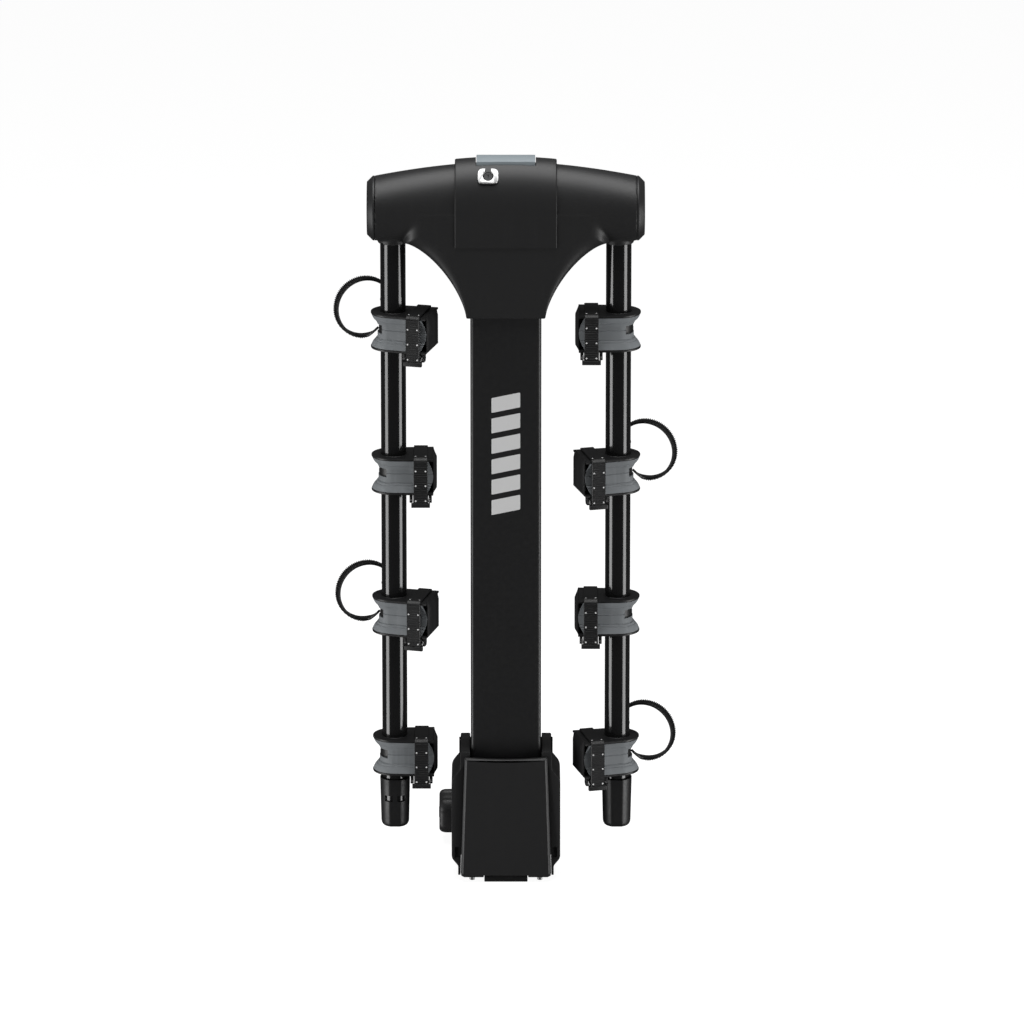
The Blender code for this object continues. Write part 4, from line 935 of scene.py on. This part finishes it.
def buckle_shapes(face):
    """Buckle under the lower plate: a body behind the strap and two hooked ears beside it."""
    top = -PAD_HALF_HEIGHT - PLATE_LEAF - 2 * GAP
    body = brick((-STRAP_OFFSET - 0.0095, face + 0.0020, -BUCKLE_FOOT + 0.002),
                 (-STRAP_OFFSET + 0.0095, face + 0.0130, top), 0.0008)
    side = np.array([(0.002, top), (0.012, top), (0.0125, top - 0.006), (0.0105, top - 0.0095),
                     (0.0035, top - 0.0098),
                     (0.0005, top - 0.0065), (0.0035, top - 0.0045)]) + (face, 0)
    ears = []
    for x in (-STRAP_OFFSET - 0.0140, -STRAP_OFFSET + 0.0100):
        ears.append(slab(rounded(side, 0.0008, 3), "X", x, x + 0.0040, 0.0005))
    return [body, *ears]


def buckle_highlight_levers(face):
    """Lever on the inner side of the buckle: a slim rod in light plated steel, whose brightness is a painted
    highlight of the buckle's lit edge.
    """
    top = -PAD_HALF_HEIGHT - PLATE_LEAF - 2 * GAP
    low = np.array([(-STRAP_OFFSET - 0.0112, face + 0.0050, top - 0.0015),
                    (-STRAP_OFFSET - 0.0104, face + 0.0005, -BUCKLE_FOOT + 0.0065)])
    path = low[0] + np.linspace(0, 1, 8)[:, None] * (low[1] - low[0])
    return [round_rod(path, 0.0010)]


def dot_shapes():
    """White dots in pairs down the strap, from its front bend: flat domes on its outer face."""
    path = strap_line()
    travelled = np.concatenate([[0], np.cumsum(np.linalg.norm(np.diff(path, axis=0), axis=1))])
    bend = travelled[np.argmax(path[:, 1] < -PLATE_EDGE + 0.0025)]
    along = np.gradient(path, axis=0)
    along /= np.linalg.norm(along, axis=1)[:, None]
    dots = []
    for row in range(4):
        place = np.argmin(np.abs(travelled - bend - row * details().dot_pitch))
        out = np.cross(along[place], (1, 0, 0))
        for x in (-0.5, 0.5):
            middle = path[place] + (x * details().dot_spacing, 0, 0)
            rings = []
            for radius, rise in ((0.0011, 0.0012), (0.0010, 0.00165), (0.0005, 0.0018)):
                spokes = circle(radius, 14)
                rings.append(middle + spokes[:, :1] * (1, 0, 0) + spokes[:, 1:] * along[place] + rise * out)
            dots.append(closed_skin(rings))
    return dots


def loop_shapes(yaw):
    """Anti-sway strap with teeth round its outside, and its thumb tab."""
    path, across = loop_line(yaw)
    travelled = np.concatenate([[0], np.cumsum(np.linalg.norm(np.diff(path, axis=0), axis=1))])
    phase = travelled / details().tooth_pitch
    tooth = np.clip(3 * (np.abs((phase % 1) - 0.5) - 0.18), 0, 1)
    ends = np.clip(np.minimum(travelled - 0.020, travelled[-1] - travelled - 0.012) / 0.004, 0, 1)
    half = LOOP_THICKNESS / 2
    band = strap_skin(path, across, LOOP_HALF, -half + 0.0003 - 0.0017 * tooth * ends, half)
    angle = math.radians(30)
    plan = circle(1.0, 24) * (0.0026, 0.0052)
    turn = np.array([[math.cos(angle), -math.sin(angle)], [math.sin(angle), math.cos(angle)]])
    tab = slab(plan @ turn.T + (0.0185, 0.0345), "Y", 0.0165, 0.0195, 0.0008)
    return [band, tab]


# ---------------------------------------------------------------- foot
def cover_half(z):
    """Half-width of the front cover at a height."""
    low, high = COVER_Z
    return COVER_FOOT_HALF + (z - low) / (high - low) * (COVER_TOP_HALF - COVER_FOOT_HALF)


def front_outline():
    """Front view (x, z) of the front cover: narrower upwards, with a slightly sagging top edge."""
    low, high = COVER_Z
    x = np.linspace(1, -1, 17) * (COVER_TOP_HALF - 0.0015)
    top = np.stack([x, high - 0.0025 * (1 - (x / COVER_TOP_HALF) ** 2)], 1)
    foot = rounded([(-COVER_FOOT_HALF, low), (COVER_FOOT_HALF, low)], 0.0, 2)[[0, 2]]
    left = foot[0] + np.array([(0, 0.006), (0.0008, 0.002), (0.0045, 0)])
    right = foot[1] + np.array([(-0.0045, 0), (-0.0008, 0.002), (0, 0.006)])
    shoulder = np.array([(COVER_TOP_HALF, high - 0.002)])
    return np.concatenate([right, shoulder, top, shoulder * (-1, 1), left])


def tray(outline, hollow, axis, face, back, rim, rise, wall):
    """Tray with a bevelled rim: hollow floor and wall, back edge, side, bevel and face."""
    rings = [stand(hollow, axis, face + wall), stand(hollow, axis, back), stand(outline, axis, back)]
    for depth, along in ((0.0, rise), (0.12 * rim, 0.72 * rise), (0.88 * rim, 0.10 * rise), (rim, 0.0)):
        rings.append(stand(inset(outline, depth), axis, face + along))
    return closed_skin(rings)


def side_outline():
    """Front view (x, z) of the right side cover with its tab."""
    seam = 0.0004
    foot = -0.0285
    step = SIDE_HALF - 0.0082
    tab_inner = MAST_HIGH[0] + 0.0010
    corners = [(cover_half(foot) + seam, foot), (step, foot), (step, -0.0160), (SIDE_HALF, -0.006),
               (SIDE_HALF, 0.098),
               (0.05775, 0.112), (0.05775, SIDE_TAB_Z), (tab_inner, SIDE_TAB_Z), (tab_inner, 0.118),
               (cover_half(0.118) + seam, 0.118)]
    return rounded(corners, [0.0005, 0.0010, 0.002, 0.004, 0.006, 0.003, 0.002, 0.0015, 0.0012, 0.0008], 5)


def side_hollow(wall):
    """Front view (x, z) of the hollow in the right side cover."""
    inner = cover_half(0.0) + 0.0009 + wall
    outer = SIDE_HALF - wall
    return rounded([(inner, -0.0112), (outer, -0.0048), (outer, 0.0965), (inner, 0.1045)], 0.0008, 3)


def knob_shape():
    """Five-lobed knob: the radius swells five times round; its rims are quarter circles."""
    low, high = (np.array(corner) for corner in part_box("hitch_knob"))
    turn = np.linspace(0, 2 * math.pi, 160, endpoint=False)
    lobes = KNOB_RADIUS * (0.945 + 0.055 * np.tanh(2.2 * np.cos(5 * turn)))
    face, back = low[0], high[0]
    stations = [(face + 0.0004, 0.30), (face + 0.0012, 0.62), (face, 0.66), (face, 0.80),
                (face + 0.0008, 0.885),
                (face + 0.003, 0.955), (face + 0.0065, 0.992), (face + 0.010, 1.0), (back - 0.003, 1.0),
                (back - 0.0008, 0.975), (back, 0.94)]
    rings = [np.stack([np.full(160, x), scale * lobes * np.cos(turn), scale * lobes * np.sin(turn)], 1)
             for x, scale in stations]
    return closed_skin(rings)


# ---------------------------------------------------------------- settings
class RackFinishes(PropertyGroup):
    """Colours of the rack's finishes."""

    moulded: FloatVectorProperty(name="Moulded covers", description="Head and foot covers", subtype="COLOR",
                                 default=(0.0150, 0.0150, 0.0155), min=0, max=1)
    powder: FloatVectorProperty(name="Powder coat", description="Mast and steel parts", subtype="COLOR",
                                default=(0.0115, 0.0115, 0.0120), min=0, max=1)
    tube: FloatVectorProperty(name="Arm tubes", description="Gloss coat of the arms", subtype="COLOR",
                              default=(0.0085, 0.0085, 0.0088), min=0, max=1)
    nylon: FloatVectorProperty(name="Cradle cores", description="Black nylon", subtype="COLOR",
                               default=(0.009, 0.009, 0.0095), min=0, max=1)
    strap: FloatVectorProperty(name="Straps", description="Ladder and anti-sway straps", subtype="COLOR",
                               default=(0.009, 0.009, 0.0095), min=0, max=1)
    dots: FloatVectorProperty(name="Strap dots", description="Printed dots", subtype="COLOR",
                              default=(0.85, 0.85, 0.85), min=0, max=1)
    pad: FloatVectorProperty(name="Pads", description="Grey saddle rubber", subtype="COLOR",
                             default=(0.190, 0.203, 0.213), min=0, max=1)
    paddle: FloatVectorProperty(name="Paddle", description="Release paddle", subtype="COLOR",
                                default=(0.24, 0.275, 0.295), min=0, max=1)
    plated: FloatVectorProperty(name="Plated steel", description="Bolts and lock plate", subtype="COLOR",
                                default=(0.45, 0.45, 0.45), min=0, max=1)
    reflector: FloatVectorProperty(name="Reflector", description="Strip on the mast", subtype="COLOR",
                                   default=(0.74, 0.74, 0.74), min=0, max=1)


class RackDetails(PropertyGroup):
    """Sizes of the small details."""

    rib_pitch: FloatProperty(name="Rib pitch", description="Ribs down the ladder straps", unit="LENGTH",
                             default=0.003, min=0.001)
    tooth_pitch: FloatProperty(name="Tooth pitch", description="Teeth of the anti-sway straps",
                               unit="LENGTH",
                               default=0.0023, min=0.001)
    dot_spacing: FloatProperty(name="Dot spacing", description="Between the dots of a pair", unit="LENGTH",
                               default=0.0124, min=0.002)
    dot_pitch: FloatProperty(name="Dot pitch", description="Between pairs of dots", unit="LENGTH",
                             default=0.0195, min=0.003)
    strip_width: FloatProperty(name="Strip width", description="Reflective bars on the mast", unit="LENGTH",
                               default=0.036, min=0.01, max=0.08)
    strip_height: FloatProperty(name="Strip height", description="Stack of reflective bars", unit="LENGTH",
                                default=0.160, min=0.02)
    rim: FloatProperty(name="Cover rim", description="Bevelled rim of the front cover", unit="LENGTH",
                       default=0.0033, min=0.001, max=0.006)


class RackStage(PropertyGroup):
    """Camera and lights."""

    look_at: FloatVectorProperty(name="Look at", description="Point in the picture's middle", unit="LENGTH",
                                 default=(0.0077, -0.130, 0.442))
    elevation: FloatProperty(name="Elevation", description="Camera above the horizon", subtype="ANGLE",
                             default=math.radians(16.5), min=-1.5, max=1.5)
    distance: FloatProperty(name="Distance", description="Camera to that point", unit="LENGTH",
                            default=10.0, min=1)
    lens: FloatProperty(name="Lens", description="Focal length in millimetres", default=279.04, min=10)
    overhead: FloatProperty(name="Overhead", description="Power of the overhead softbox in watts",
                            default=80, min=0)
    sides: FloatProperty(name="Sides", description="Power of each side softbox in watts", default=68, min=0)
    surround: FloatProperty(name="Surround", description="Brightness of the room", default=0.05, min=0)


# ---------------------------------------------------------------- operators
class RackOperator(Operator):
    """Base of the rack's operators: undoable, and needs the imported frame's scene."""

    bl_options = {"REGISTER", "UNDO"}

    @classmethod
    def poll(cls, context):
        return context.scene is not None


def area_light(name, place, target, size, power):
    """Rectangular softbox that faces a point."""
    light = bpy.data.lights.new(name, "AREA")
    light.shape = "RECTANGLE"
    light.size, light.size_y = size
    light.energy = power
    item = bpy.data.objects.new(name, light)
    item.location = place
    item.rotation_euler = (Vector(target) - Vector(place)).to_track_quat("-Z", "Y").to_euler()
    bpy.context.scene.collection.objects.link(item)


def floor_material():
    """Seamless paper: nearly white to the camera with a faint shadow, and dim in reflections."""
    material = bpy.data.materials.new("seamless_paper")
    material.use_nodes = True
    tree = material.node_tree
    tree.nodes.clear()
    glow = add_node(tree, "ShaderNodeEmission", Color=(1, 1, 1, 1), Strength=0.94)
    matt = add_node(tree, "ShaderNodeBsdfDiffuse", Color=(0.30, 0.30, 0.30, 1))
    seen = add_node(tree, "ShaderNodeAddShader", {0: glow.outputs[0], 1: matt.outputs[0]})
    dim = add_node(tree, "ShaderNodeBsdfDiffuse", Color=(0.25, 0.25, 0.25, 1))
    path = add_node(tree, "ShaderNodeLightPath")
    mixed = add_node(tree, "ShaderNodeMixShader", {0: path.outputs["Is Camera Ray"], 1: dim.outputs[0],
                                                   2: seen.outputs[0]})
    add_node(tree, "ShaderNodeOutputMaterial", {0: mixed.outputs[0]})
    return material


def room(world, brightness):
    """Room light: white to the camera and dim to the rack."""
    world.use_nodes = True
    tree = world.node_tree
    tree.nodes.clear()
    white = add_node(tree, "ShaderNodeBackground", Color=(1, 1, 1, 1), Strength=1.0)
    dim = add_node(tree, "ShaderNodeBackground", Color=(1, 1, 1, 1), Strength=brightness)
    path = add_node(tree, "ShaderNodeLightPath")
    mixed = add_node(tree, "ShaderNodeMixShader", {0: path.outputs["Is Camera Ray"], 1: dim.outputs[0],
                                                   2: white.outputs[0]})
    add_node(tree, "ShaderNodeOutputWorld", {0: mixed.outputs[0]})


class RACK_OT_stage(RackOperator):
    """Camera, softboxes, room and floor"""

    bl_idname = "rack.stage"
    bl_label = "Set the stage"

    def execute(self, context):
        stage = context.scene.rack_stage
        target = Vector(stage.look_at)
        way = Vector((0, -math.cos(stage.elevation), math.sin(stage.elevation)))
        lens = bpy.data.cameras.new("camera")
        lens.lens = stage.lens
        lens.clip_end = 100
        camera = bpy.data.objects.new("camera", lens)
        camera.location = target + stage.distance * way
        camera.rotation_euler = (-way).to_track_quat("-Z", "Y").to_euler()
        context.scene.collection.objects.link(camera)
        context.scene.camera = camera
        middle = tuple(FOLD * (1, 1, 0.55))
        area_light("overhead", (0, -0.3, 3.0), middle, (2.6, 2.0), stage.overhead)
        for side in (-1, 1):
            area_light("side_softbox", (side * 2.8, -1.3, -0.35), middle, (1.5, 2.6), stage.sides)
        context.scene.world = bpy.data.worlds.new("room")
        room(context.scene.world, stage.surround)
        context.scene.view_settings.view_transform = "Standard"
        floor = bpy.data.objects.new("floor", bpy.data.meshes.new("floor"))
        low = CAD_BOX[0][2] - 0.0006
        floor.data.from_pydata([(x, y, low) for x, y in ((-20, -20), (20, -20), (20, 20), (-20, 20))], [],
                               [(0, 1, 2, 3)])
        floor.data.materials.append(floor_material())
        floor.visible_glossy = floor.visible_shadow = False
        context.scene.collection.objects.link(floor)
        return {"FINISHED"}


class RACK_OT_frame_finishes(RackOperator):
    """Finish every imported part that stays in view"""

    bl_idname = "rack.frame_finishes"
    bl_label = "Finish the packed parts"

    def execute(self, context):
        for part in frame["record"]["subparts"]:
            node = frame["nodes"][part["node"]]
            material, _ = FINISHES[NODE_FINISHES[part["material_slot"]]]
            node.data.materials.clear()
            node.data.materials.append(material())
        return {"FINISHED"}


def cover_shape():
    """Centre cover: its wall's section, from the rear top to the front foot, carried across the head
    with its two side edges rounded, then notched for the paddle and bored for the lock."""
    rounding = 0.0018
    share = np.concatenate([-1 + rounding / COVER_HALF * (1 - np.cos(np.linspace(0, math.pi / 2, 5))),
                            np.linspace(-1, 1, 33)[2:-2],
                            1 - rounding / COVER_HALF * (1 - np.cos(np.linspace(math.pi / 2, 0, 5)))])
    rings = []
    for x in share * COVER_HALF:
        depth = np.clip((abs(x) - COVER_HALF + rounding) / rounding, 0, 1)
        drop = rounding * (1 - math.sqrt(1 - depth ** 2)) * 0.8
        low, high = COVER_PROUD
        inner = cover_arc(GAP, GAP, x)
        outer = cover_arc(low - 0.4 * drop, high - drop, x)[::-1]
        rings.append(stand(np.concatenate([inner, outer]), "X", x))
    half = PADDLE_HALF + PADDLE_GAP
    notch = brick((-half, MAST_Y + PADDLE_REACH[0] - PADDLE_GAP, FOLD[2] + 0.030),
                  (half, MAST_Y + PADDLE_REACH[1] + 0.02, FOLD[2] + 0.09), 0.0008)
    bore = on_lock(turned([(LOCK_RADIUS + GAP, -0.011), (LOCK_RADIUS + GAP, 0.008)], "Z", (0, 0), 48))
    return cut([closed_skin(rings)], [notch, bore])


def on_lock(shape):
    """Shape in the lock's own frame (across, up the head, out of it) put in its place."""
    points, faces = shape
    up = np.cross(LOCK_AXIS, (1, 0, 0))
    return np.asarray(points) @ np.array([(1, 0, 0), up, LOCK_AXIS]) + LOCK_POINT, faces


def paddle_shapes():
    """Release paddle: an arc's wall carried across with rounded edges, its stiffening web and axle."""
    reach = HEAD_RADIUS + PADDLE_PROUD
    turn = np.linspace(math.acos(PADDLE_REACH[1] / reach), math.acos(PADDLE_REACH[0] / reach), 48)
    arcs = []
    for grow in (PADDLE_PROUD, PADDLE_PROUD - PADDLE_WALL):
        arcs.append(np.stack([(HEAD_RADIUS + grow) * np.cos(turn), (HEAD_RISE + grow) * np.sin(turn)], 1))
    lip = arcs[0][-1] + np.array([(-0.0004, -0.0012), (-0.0004, -PADDLE_LIP), (0.0018, -PADDLE_LIP)])
    plate = slab(np.concatenate([arcs[0], lip, arcs[1][::-1]]) + FOLD[1:], "X", -PADDLE_HALF, PADDLE_HALF,
                 0.0008)
    y, z = FOLD[1:] + PADDLE_PIN
    axle = turned([(0.0015, -0.034), (0.0015, 0.034)], "X", (y, z), 20)
    web = brick((-0.028, y - 0.0018, z + 0.001), (0.028, y + 0.0012, z + 0.0042), 0.0004)
    return [plate, axle, web]


def lock_shape():
    """Horseshoe plate: a rounded rectangle with a round hole that opens upwards through a neck."""
    width, height, depth = LOCK_PLATE
    x, y = width / 2, height / 2
    outline = rounded([(x, y), (x, -y), (-x, -y), (-x, y)], 0.0075, 9)
    start = math.acos(LOCK_NECK / (LOCK_RADIUS + GAP))
    hole = circle(LOCK_RADIUS + GAP, 41, (0, 0), math.pi - start, math.pi + 2 * start)
    plate = np.concatenate([[(LOCK_NECK, y)], outline, [(-LOCK_NECK, y)], hole])
    return on_lock(slab(plate, "Z", 0.0008, 0.0008 + depth, 0.0005))


def lock_core_shape():
    """Lock cylinder with a rounded face and a keyway."""
    radius = LOCK_RADIUS
    barrel = turned([(radius, -0.010), (radius, 0.0006), (radius - 0.0006, 0.0012), (radius * 0.62, 0.0012),
                     (radius * 0.60, 0.0008)], "Z", (0, 0), 48)
    keyway = brick((-0.0007, -0.0026, -0.001), (0.0007, 0.0026, 0.004), 0.0002)
    return on_lock(cut([barrel], [keyway]))


class RACK_OT_head(RackOperator):
    """Head shell, its covers and caps, release paddle and cable lock"""

    bl_idname = "rack.head"
    bl_label = "Make the head"

    def execute(self, context):
        low = FOLD + (-HEAD_HALF - 0.004, -0.0425, -SKIRT_DROP - 0.003)
        high = FOLD + (HEAD_HALF + 0.004, 0.0425, HEAD_RISE + 0.003)
        shell = level_surface(head_field, low, high, 0.0017)
        lug = brick((0.030, MAST_Y + 0.0192, FOLD[2] + 0.0462), (0.0345, MAST_Y + 0.0248, FOLD[2] + 0.0544),
                    0.0006)
        make_piece("shell", [shell, *both_sides(lug)], "moulded", "arms", ["head_shell"])
        make_piece("end_cap_right", [end_cap()], "moulded", "arms", ["head_end_cap_right"])
        make_piece("end_cap_left", [mirrored(end_cap())], "moulded", "arms", ["head_end_cap_left"])
        make_piece("center_cover", [cover_shape()], "moulded", "arms", ["head_center_cover"])
        make_piece("paddle", paddle_shapes(), "paddle", "paddle", ["release_paddle"])
        make_piece("lock_plate", [lock_shape()], "plated", "arms", ["cable_lock_plate"])
        make_piece("lock_core", [lock_core_shape()], "lock", "cable_lock", ["cable_lock_cylinder"])
        return {"FINISHED"}


def arm_cap_shape(side):
    """Cup on an arm's foot: flat in front, narrower below; the left one has a slot and a catch."""
    center = np.array((side * ARM_X, MAST_Y))
    low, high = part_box("arm_end_cap_right")[0][2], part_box("arm_end_cap_right")[1][2]
    wide, narrow = ARM_CAP_RADII
    foot = narrow * np.sin(np.linspace(0.9, math.pi / 2, 7))
    share = (foot - foot[0]) / (narrow - foot[0])
    levels = low + ARM_CAP_FOOT * (1 - np.sqrt(np.clip(1 - share ** 2, 0, 1)))
    stations = list(zip(foot, levels)) + [(wide - 0.0004, high - 0.0005), (wide - 0.0009, high)]
    bore = ARM_RADIUS + GAP
    rings = []
    for radius, z in stations:
        outline = circle(radius, 96)
        outline[:, 1] = np.maximum(outline[:, 1], -0.93 * radius)
        rings.append(stand(outline + center, "Z", z))
    for z in (high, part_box("arm_tube_right")[0][2] - GAP):
        rings.append(stand(circle(bore, 96, center), "Z", z))
    cup = closed_skin(rings)
    if side > 0:
        return cup
    middle = low + 0.60 * (high - low)
    slots = []
    for way in (-1, 1):
        near, far = (center[0] + way * reach for reach in CATCH_SLOT)
        slots.append(brick((near, MAST_Y - 0.03, middle - CATCH_HALF),
                           (far, MAST_Y - 0.012, middle + CATCH_HALF),
                           0.0006))
    return cut([cup], slots)


class RACK_OT_arms(RackOperator):
    """Arm tubes and their end caps"""

    bl_idname = "rack.arms"
    bl_label = "Make the arms"

    def execute(self, context):
        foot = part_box("arm_tube_right")[0][2]
        for name, side in (("left", -1), ("right", 1)):
            center = (side * ARM_X, MAST_Y)
            tube = pipe(circle(ARM_RADIUS, 96, center), circle(ARM_RADIUS - 0.002, 96, center), "Z", foot,
                        FOLD[2] - 0.020)
            make_piece("tube_" + name, [tube], "tube", "arms", ["arm_tube_" + name])
            make_piece("arm_cap_" + name, [arm_cap_shape(side)], "cap", "arms", ["arm_end_cap_" + name])
        return {"FINISHED"}


def mast_shapes():
    """Mast tube with rounded corners, cut for the latch bar and pivot, and the sleeve on its top."""
    low, high = MAST_LOW, MAST_HIGH
    corners = [(low[0], low[1]), (high[0], low[1]), (high[0], high[1]), (low[0], high[1])]
    wall = 0.0025
    tube = pipe(rounded(corners, 0.0055, 9), rounded(inset(np.array(corners), wall), 0.003, 9), "Z", low[2],
                FOLD[2] - 0.0225)
    slot = brick((-0.06, PIVOT[1] - 0.0054, 0.0351), (0.06, PIVOT[1] + 0.0054, 0.0529), 0.0005)
    bore = turned([(0.0116, -0.06), (0.0116, 0.06)], "X", PIVOT[1:], 48)
    sleeve = pipe(circle(0.0254, 72, FOLD[1:]), circle(0.0212, 72, FOLD[1:]), "X", low[0], high[0])
    return [cut([tube], [slot, bore]), sleeve]


def strip_shapes():
    """Stack of slanted reflective bars on the mast's front, each a thin plate."""
    width, height = details().strip_width, details().strip_height
    count = 6
    pitch = height / count
    face = MAST_LOW[1]
    bars = []
    for index in range(count):
        z = STRIP_Z + pitch * (index + 0.5 - count / 2)
        rise, slant = 0.36 * pitch, 0.14 * pitch
        corners = [(-width / 2, z - rise - slant), (width / 2, z - rise + slant),
                   (width / 2, z + rise + slant),
                   (-width / 2, z + rise - slant)]
        bars.append(slab(rounded(corners, 0.0012, 4), "Y", face - 0.0003, face + 0.0002, 0.0001, 2))
    return bars


class RACK_OT_mast(RackOperator):
    """Mast and its reflective bars"""

    bl_idname = "rack.mast"
    bl_label = "Make the mast"

    def execute(self, context):
        make_piece("mast", mast_shapes(), "powder", "mast", ["mast_tube"])
        make_piece("mast_strip", strip_shapes(), "reflector", "mast")
        return {"FINISHED"}


class RACK_OT_cradles(RackOperator):
    """Cradle cores, pads, ladder straps and anti-sway straps"""

    bl_idname = "rack.cradles"
    bl_label = "Make the cradles"

    def execute(self, context):
        ribbon, buckle = strap_shapes()
        pad = cut([pad_skin()], [pad_window()])
        parts = [("core", core_shapes(), "nylon"), ("strap", ribbon + buckle, "strap"),
                 ("pad", [pad], "pad"),
                 ("loop", loop_shapes(CRADLE_YAW), "strap")]
        # The bright plated rods beside each buckle stand for its lever; their light finish is a painted highlight
        # of the buckle's lit edge.
        trims = [("dots", dot_shapes(), "dots"), ("highlight_levers", buckle_highlight_levers(strap_line()[-1, 1]), "plated")]
        for body, side, looped, yaw, center in looped_cradles():
            for part, shapes, finish in parts if looped else parts[:3]:
                placed = [in_cradle(shape, side, yaw, center) for shape in shapes]
                make_piece("%s_%s_look" % (body, part), placed, finish, body, [body + "_" + part])
            for part, shapes, finish in trims:
                placed = [in_cradle(shape, side, yaw, center) for shape in shapes]
                make_piece("%s_%s" % (body, part), placed, finish, body)
        return {"FINISHED"}


def grip_shapes():
    """Grip lever: hooked grip in front, pin, and the end under the pull rod, and its axle."""
    pin_y, pin_z = LEVER_PIN[1:]
    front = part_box("front_cover")[0][1] + 0.0035
    low = GRIP_FOOT
    end = PIVOT[1] - 0.011
    side = [(pin_y - 0.003, pin_z - 0.003), (front, low + 0.001), (front + 0.001, low), (front + 0.006, low),
            (pin_y + 0.004, low + 0.006), (end, pin_z - 0.003), (end, pin_z + 0.001), (pin_y, pin_z + 0.003)]
    corners = [0.001, 0.0003, 0.0003, 0.002, 0.002, 0.001, 0.001, 0.001]
    grip = slab(rounded(side, corners, 4), "X", -GRIP_HALF, GRIP_HALF, 0.0009)
    axle = turned([(0.003, -AXLE_HALF), (0.003, AXLE_HALF)], "X", (pin_y, pin_z), 32)
    return [grip, axle]


class RACK_OT_foot(RackOperator):
    """Foot covers, tilt lever and hitch knob"""

    bl_idname = "rack.foot"
    bl_label = "Make the foot"

    def execute(self, context):
        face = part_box("front_cover")[0][1]
        wall = 0.003
        cover = tray(front_outline(), inset(front_outline(), wall), "Y", face, face + 0.0067, details().rim,
                     wall,
                     wall)
        slot = brick((-0.0283, face - 0.01, COVER_Z[0] - 0.01), (0.0283, face + 0.02, COVER_Z[0] + 0.0033),
                     0.0005)
        make_piece("cover_front", [cut([cover], [slot])], "moulded", "mast", ["front_cover"])
        side_low, side_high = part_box("side_cover_right")
        notch = brick((cover_half(0) - 0.003, side_low[1] - 0.01, -0.006),
                      (cover_half(0) + 0.0085, side_low[1] + wall - 0.0004, 0.009), 0.0003)
        cheek = slab(side_outline(), "Y", side_low[1], side_high[1], 0.0003)
        hollow = slab(side_hollow(wall), "Y", side_low[1] + wall, side_high[1] + 0.01, 0.0003)
        side = cut([cheek], [hollow, notch])
        flange = brick((MAST_HIGH[0] - 0.0015, MAST_HIGH[1] + 0.0012, 0.004),
                       (cover_half(0) + 0.003, MAST_HIGH[1] + 0.0036, SIDE_TAB_Z - 0.001))
        make_piece("cover_right", [side, flange], "moulded", "root", ["side_cover_right"])
        make_piece("cover_left", [mirrored(side), mirrored(flange)], "moulded", "root", ["side_cover_left"])
        make_piece("lever", grip_shapes(), "moulded", "tilt_lever", ["tilt_lever"])
        core_hole = turned([(0.0073, KNOB_HOLE[0]), (0.0073, KNOB_HOLE[1])], "X", (0, 0), 40)
        make_piece("knob", [cut([knob_shape()], [core_hole])], "moulded", "pin", ["hitch_knob"])
        return {"FINISHED"}


class RACK_PT_panel(Panel):
    """Settings and steps of the bike rack"""

    bl_label = "Bike Rack"
    bl_idname = "RACK_PT_panel"
    bl_space_type = "VIEW_3D"
    bl_region_type = "UI"
    bl_category = "Bike Rack"

    def draw(self, context):
        layout = self.layout
        for step in STEPS:
            layout.operator(step.bl_idname)
        for settings in (context.scene.rack_finishes, context.scene.rack_details, context.scene.rack_stage):
            box = layout.box()
            for name in settings.__annotations__:
                box.prop(settings, name)


STEPS = (RACK_OT_stage, RACK_OT_frame_finishes, RACK_OT_head, RACK_OT_arms, RACK_OT_mast, RACK_OT_cradles,
         RACK_OT_foot)
SETTINGS = {"rack_finishes": RackFinishes, "rack_details": RackDetails, "rack_stage": RackStage}


def register():
    """Registers the settings, the steps and the panel."""
    for item in (*SETTINGS.values(), *STEPS, RACK_PT_panel):
        bpy.utils.register_class(item)
    for name, item in SETTINGS.items():
        setattr(bpy.types.Scene, name, PointerProperty(type=item))


def unregister():
    """Undoes register."""
    for name in SETTINGS:
        delattr(bpy.types.Scene, name)
    for item in (RACK_PT_panel, *STEPS[::-1], *SETTINGS.values()):
        bpy.utils.unregister_class(item)


def main():
    """Builds everything in order."""
    register()
    for step in STEPS:
        area, call = step.bl_idname.split(".")
        if getattr(getattr(bpy.ops, area), call)() != {"FINISHED"}:
            raise RuntimeError(step.bl_label + " could not finish")


if __name__ == "__main__":
    main()
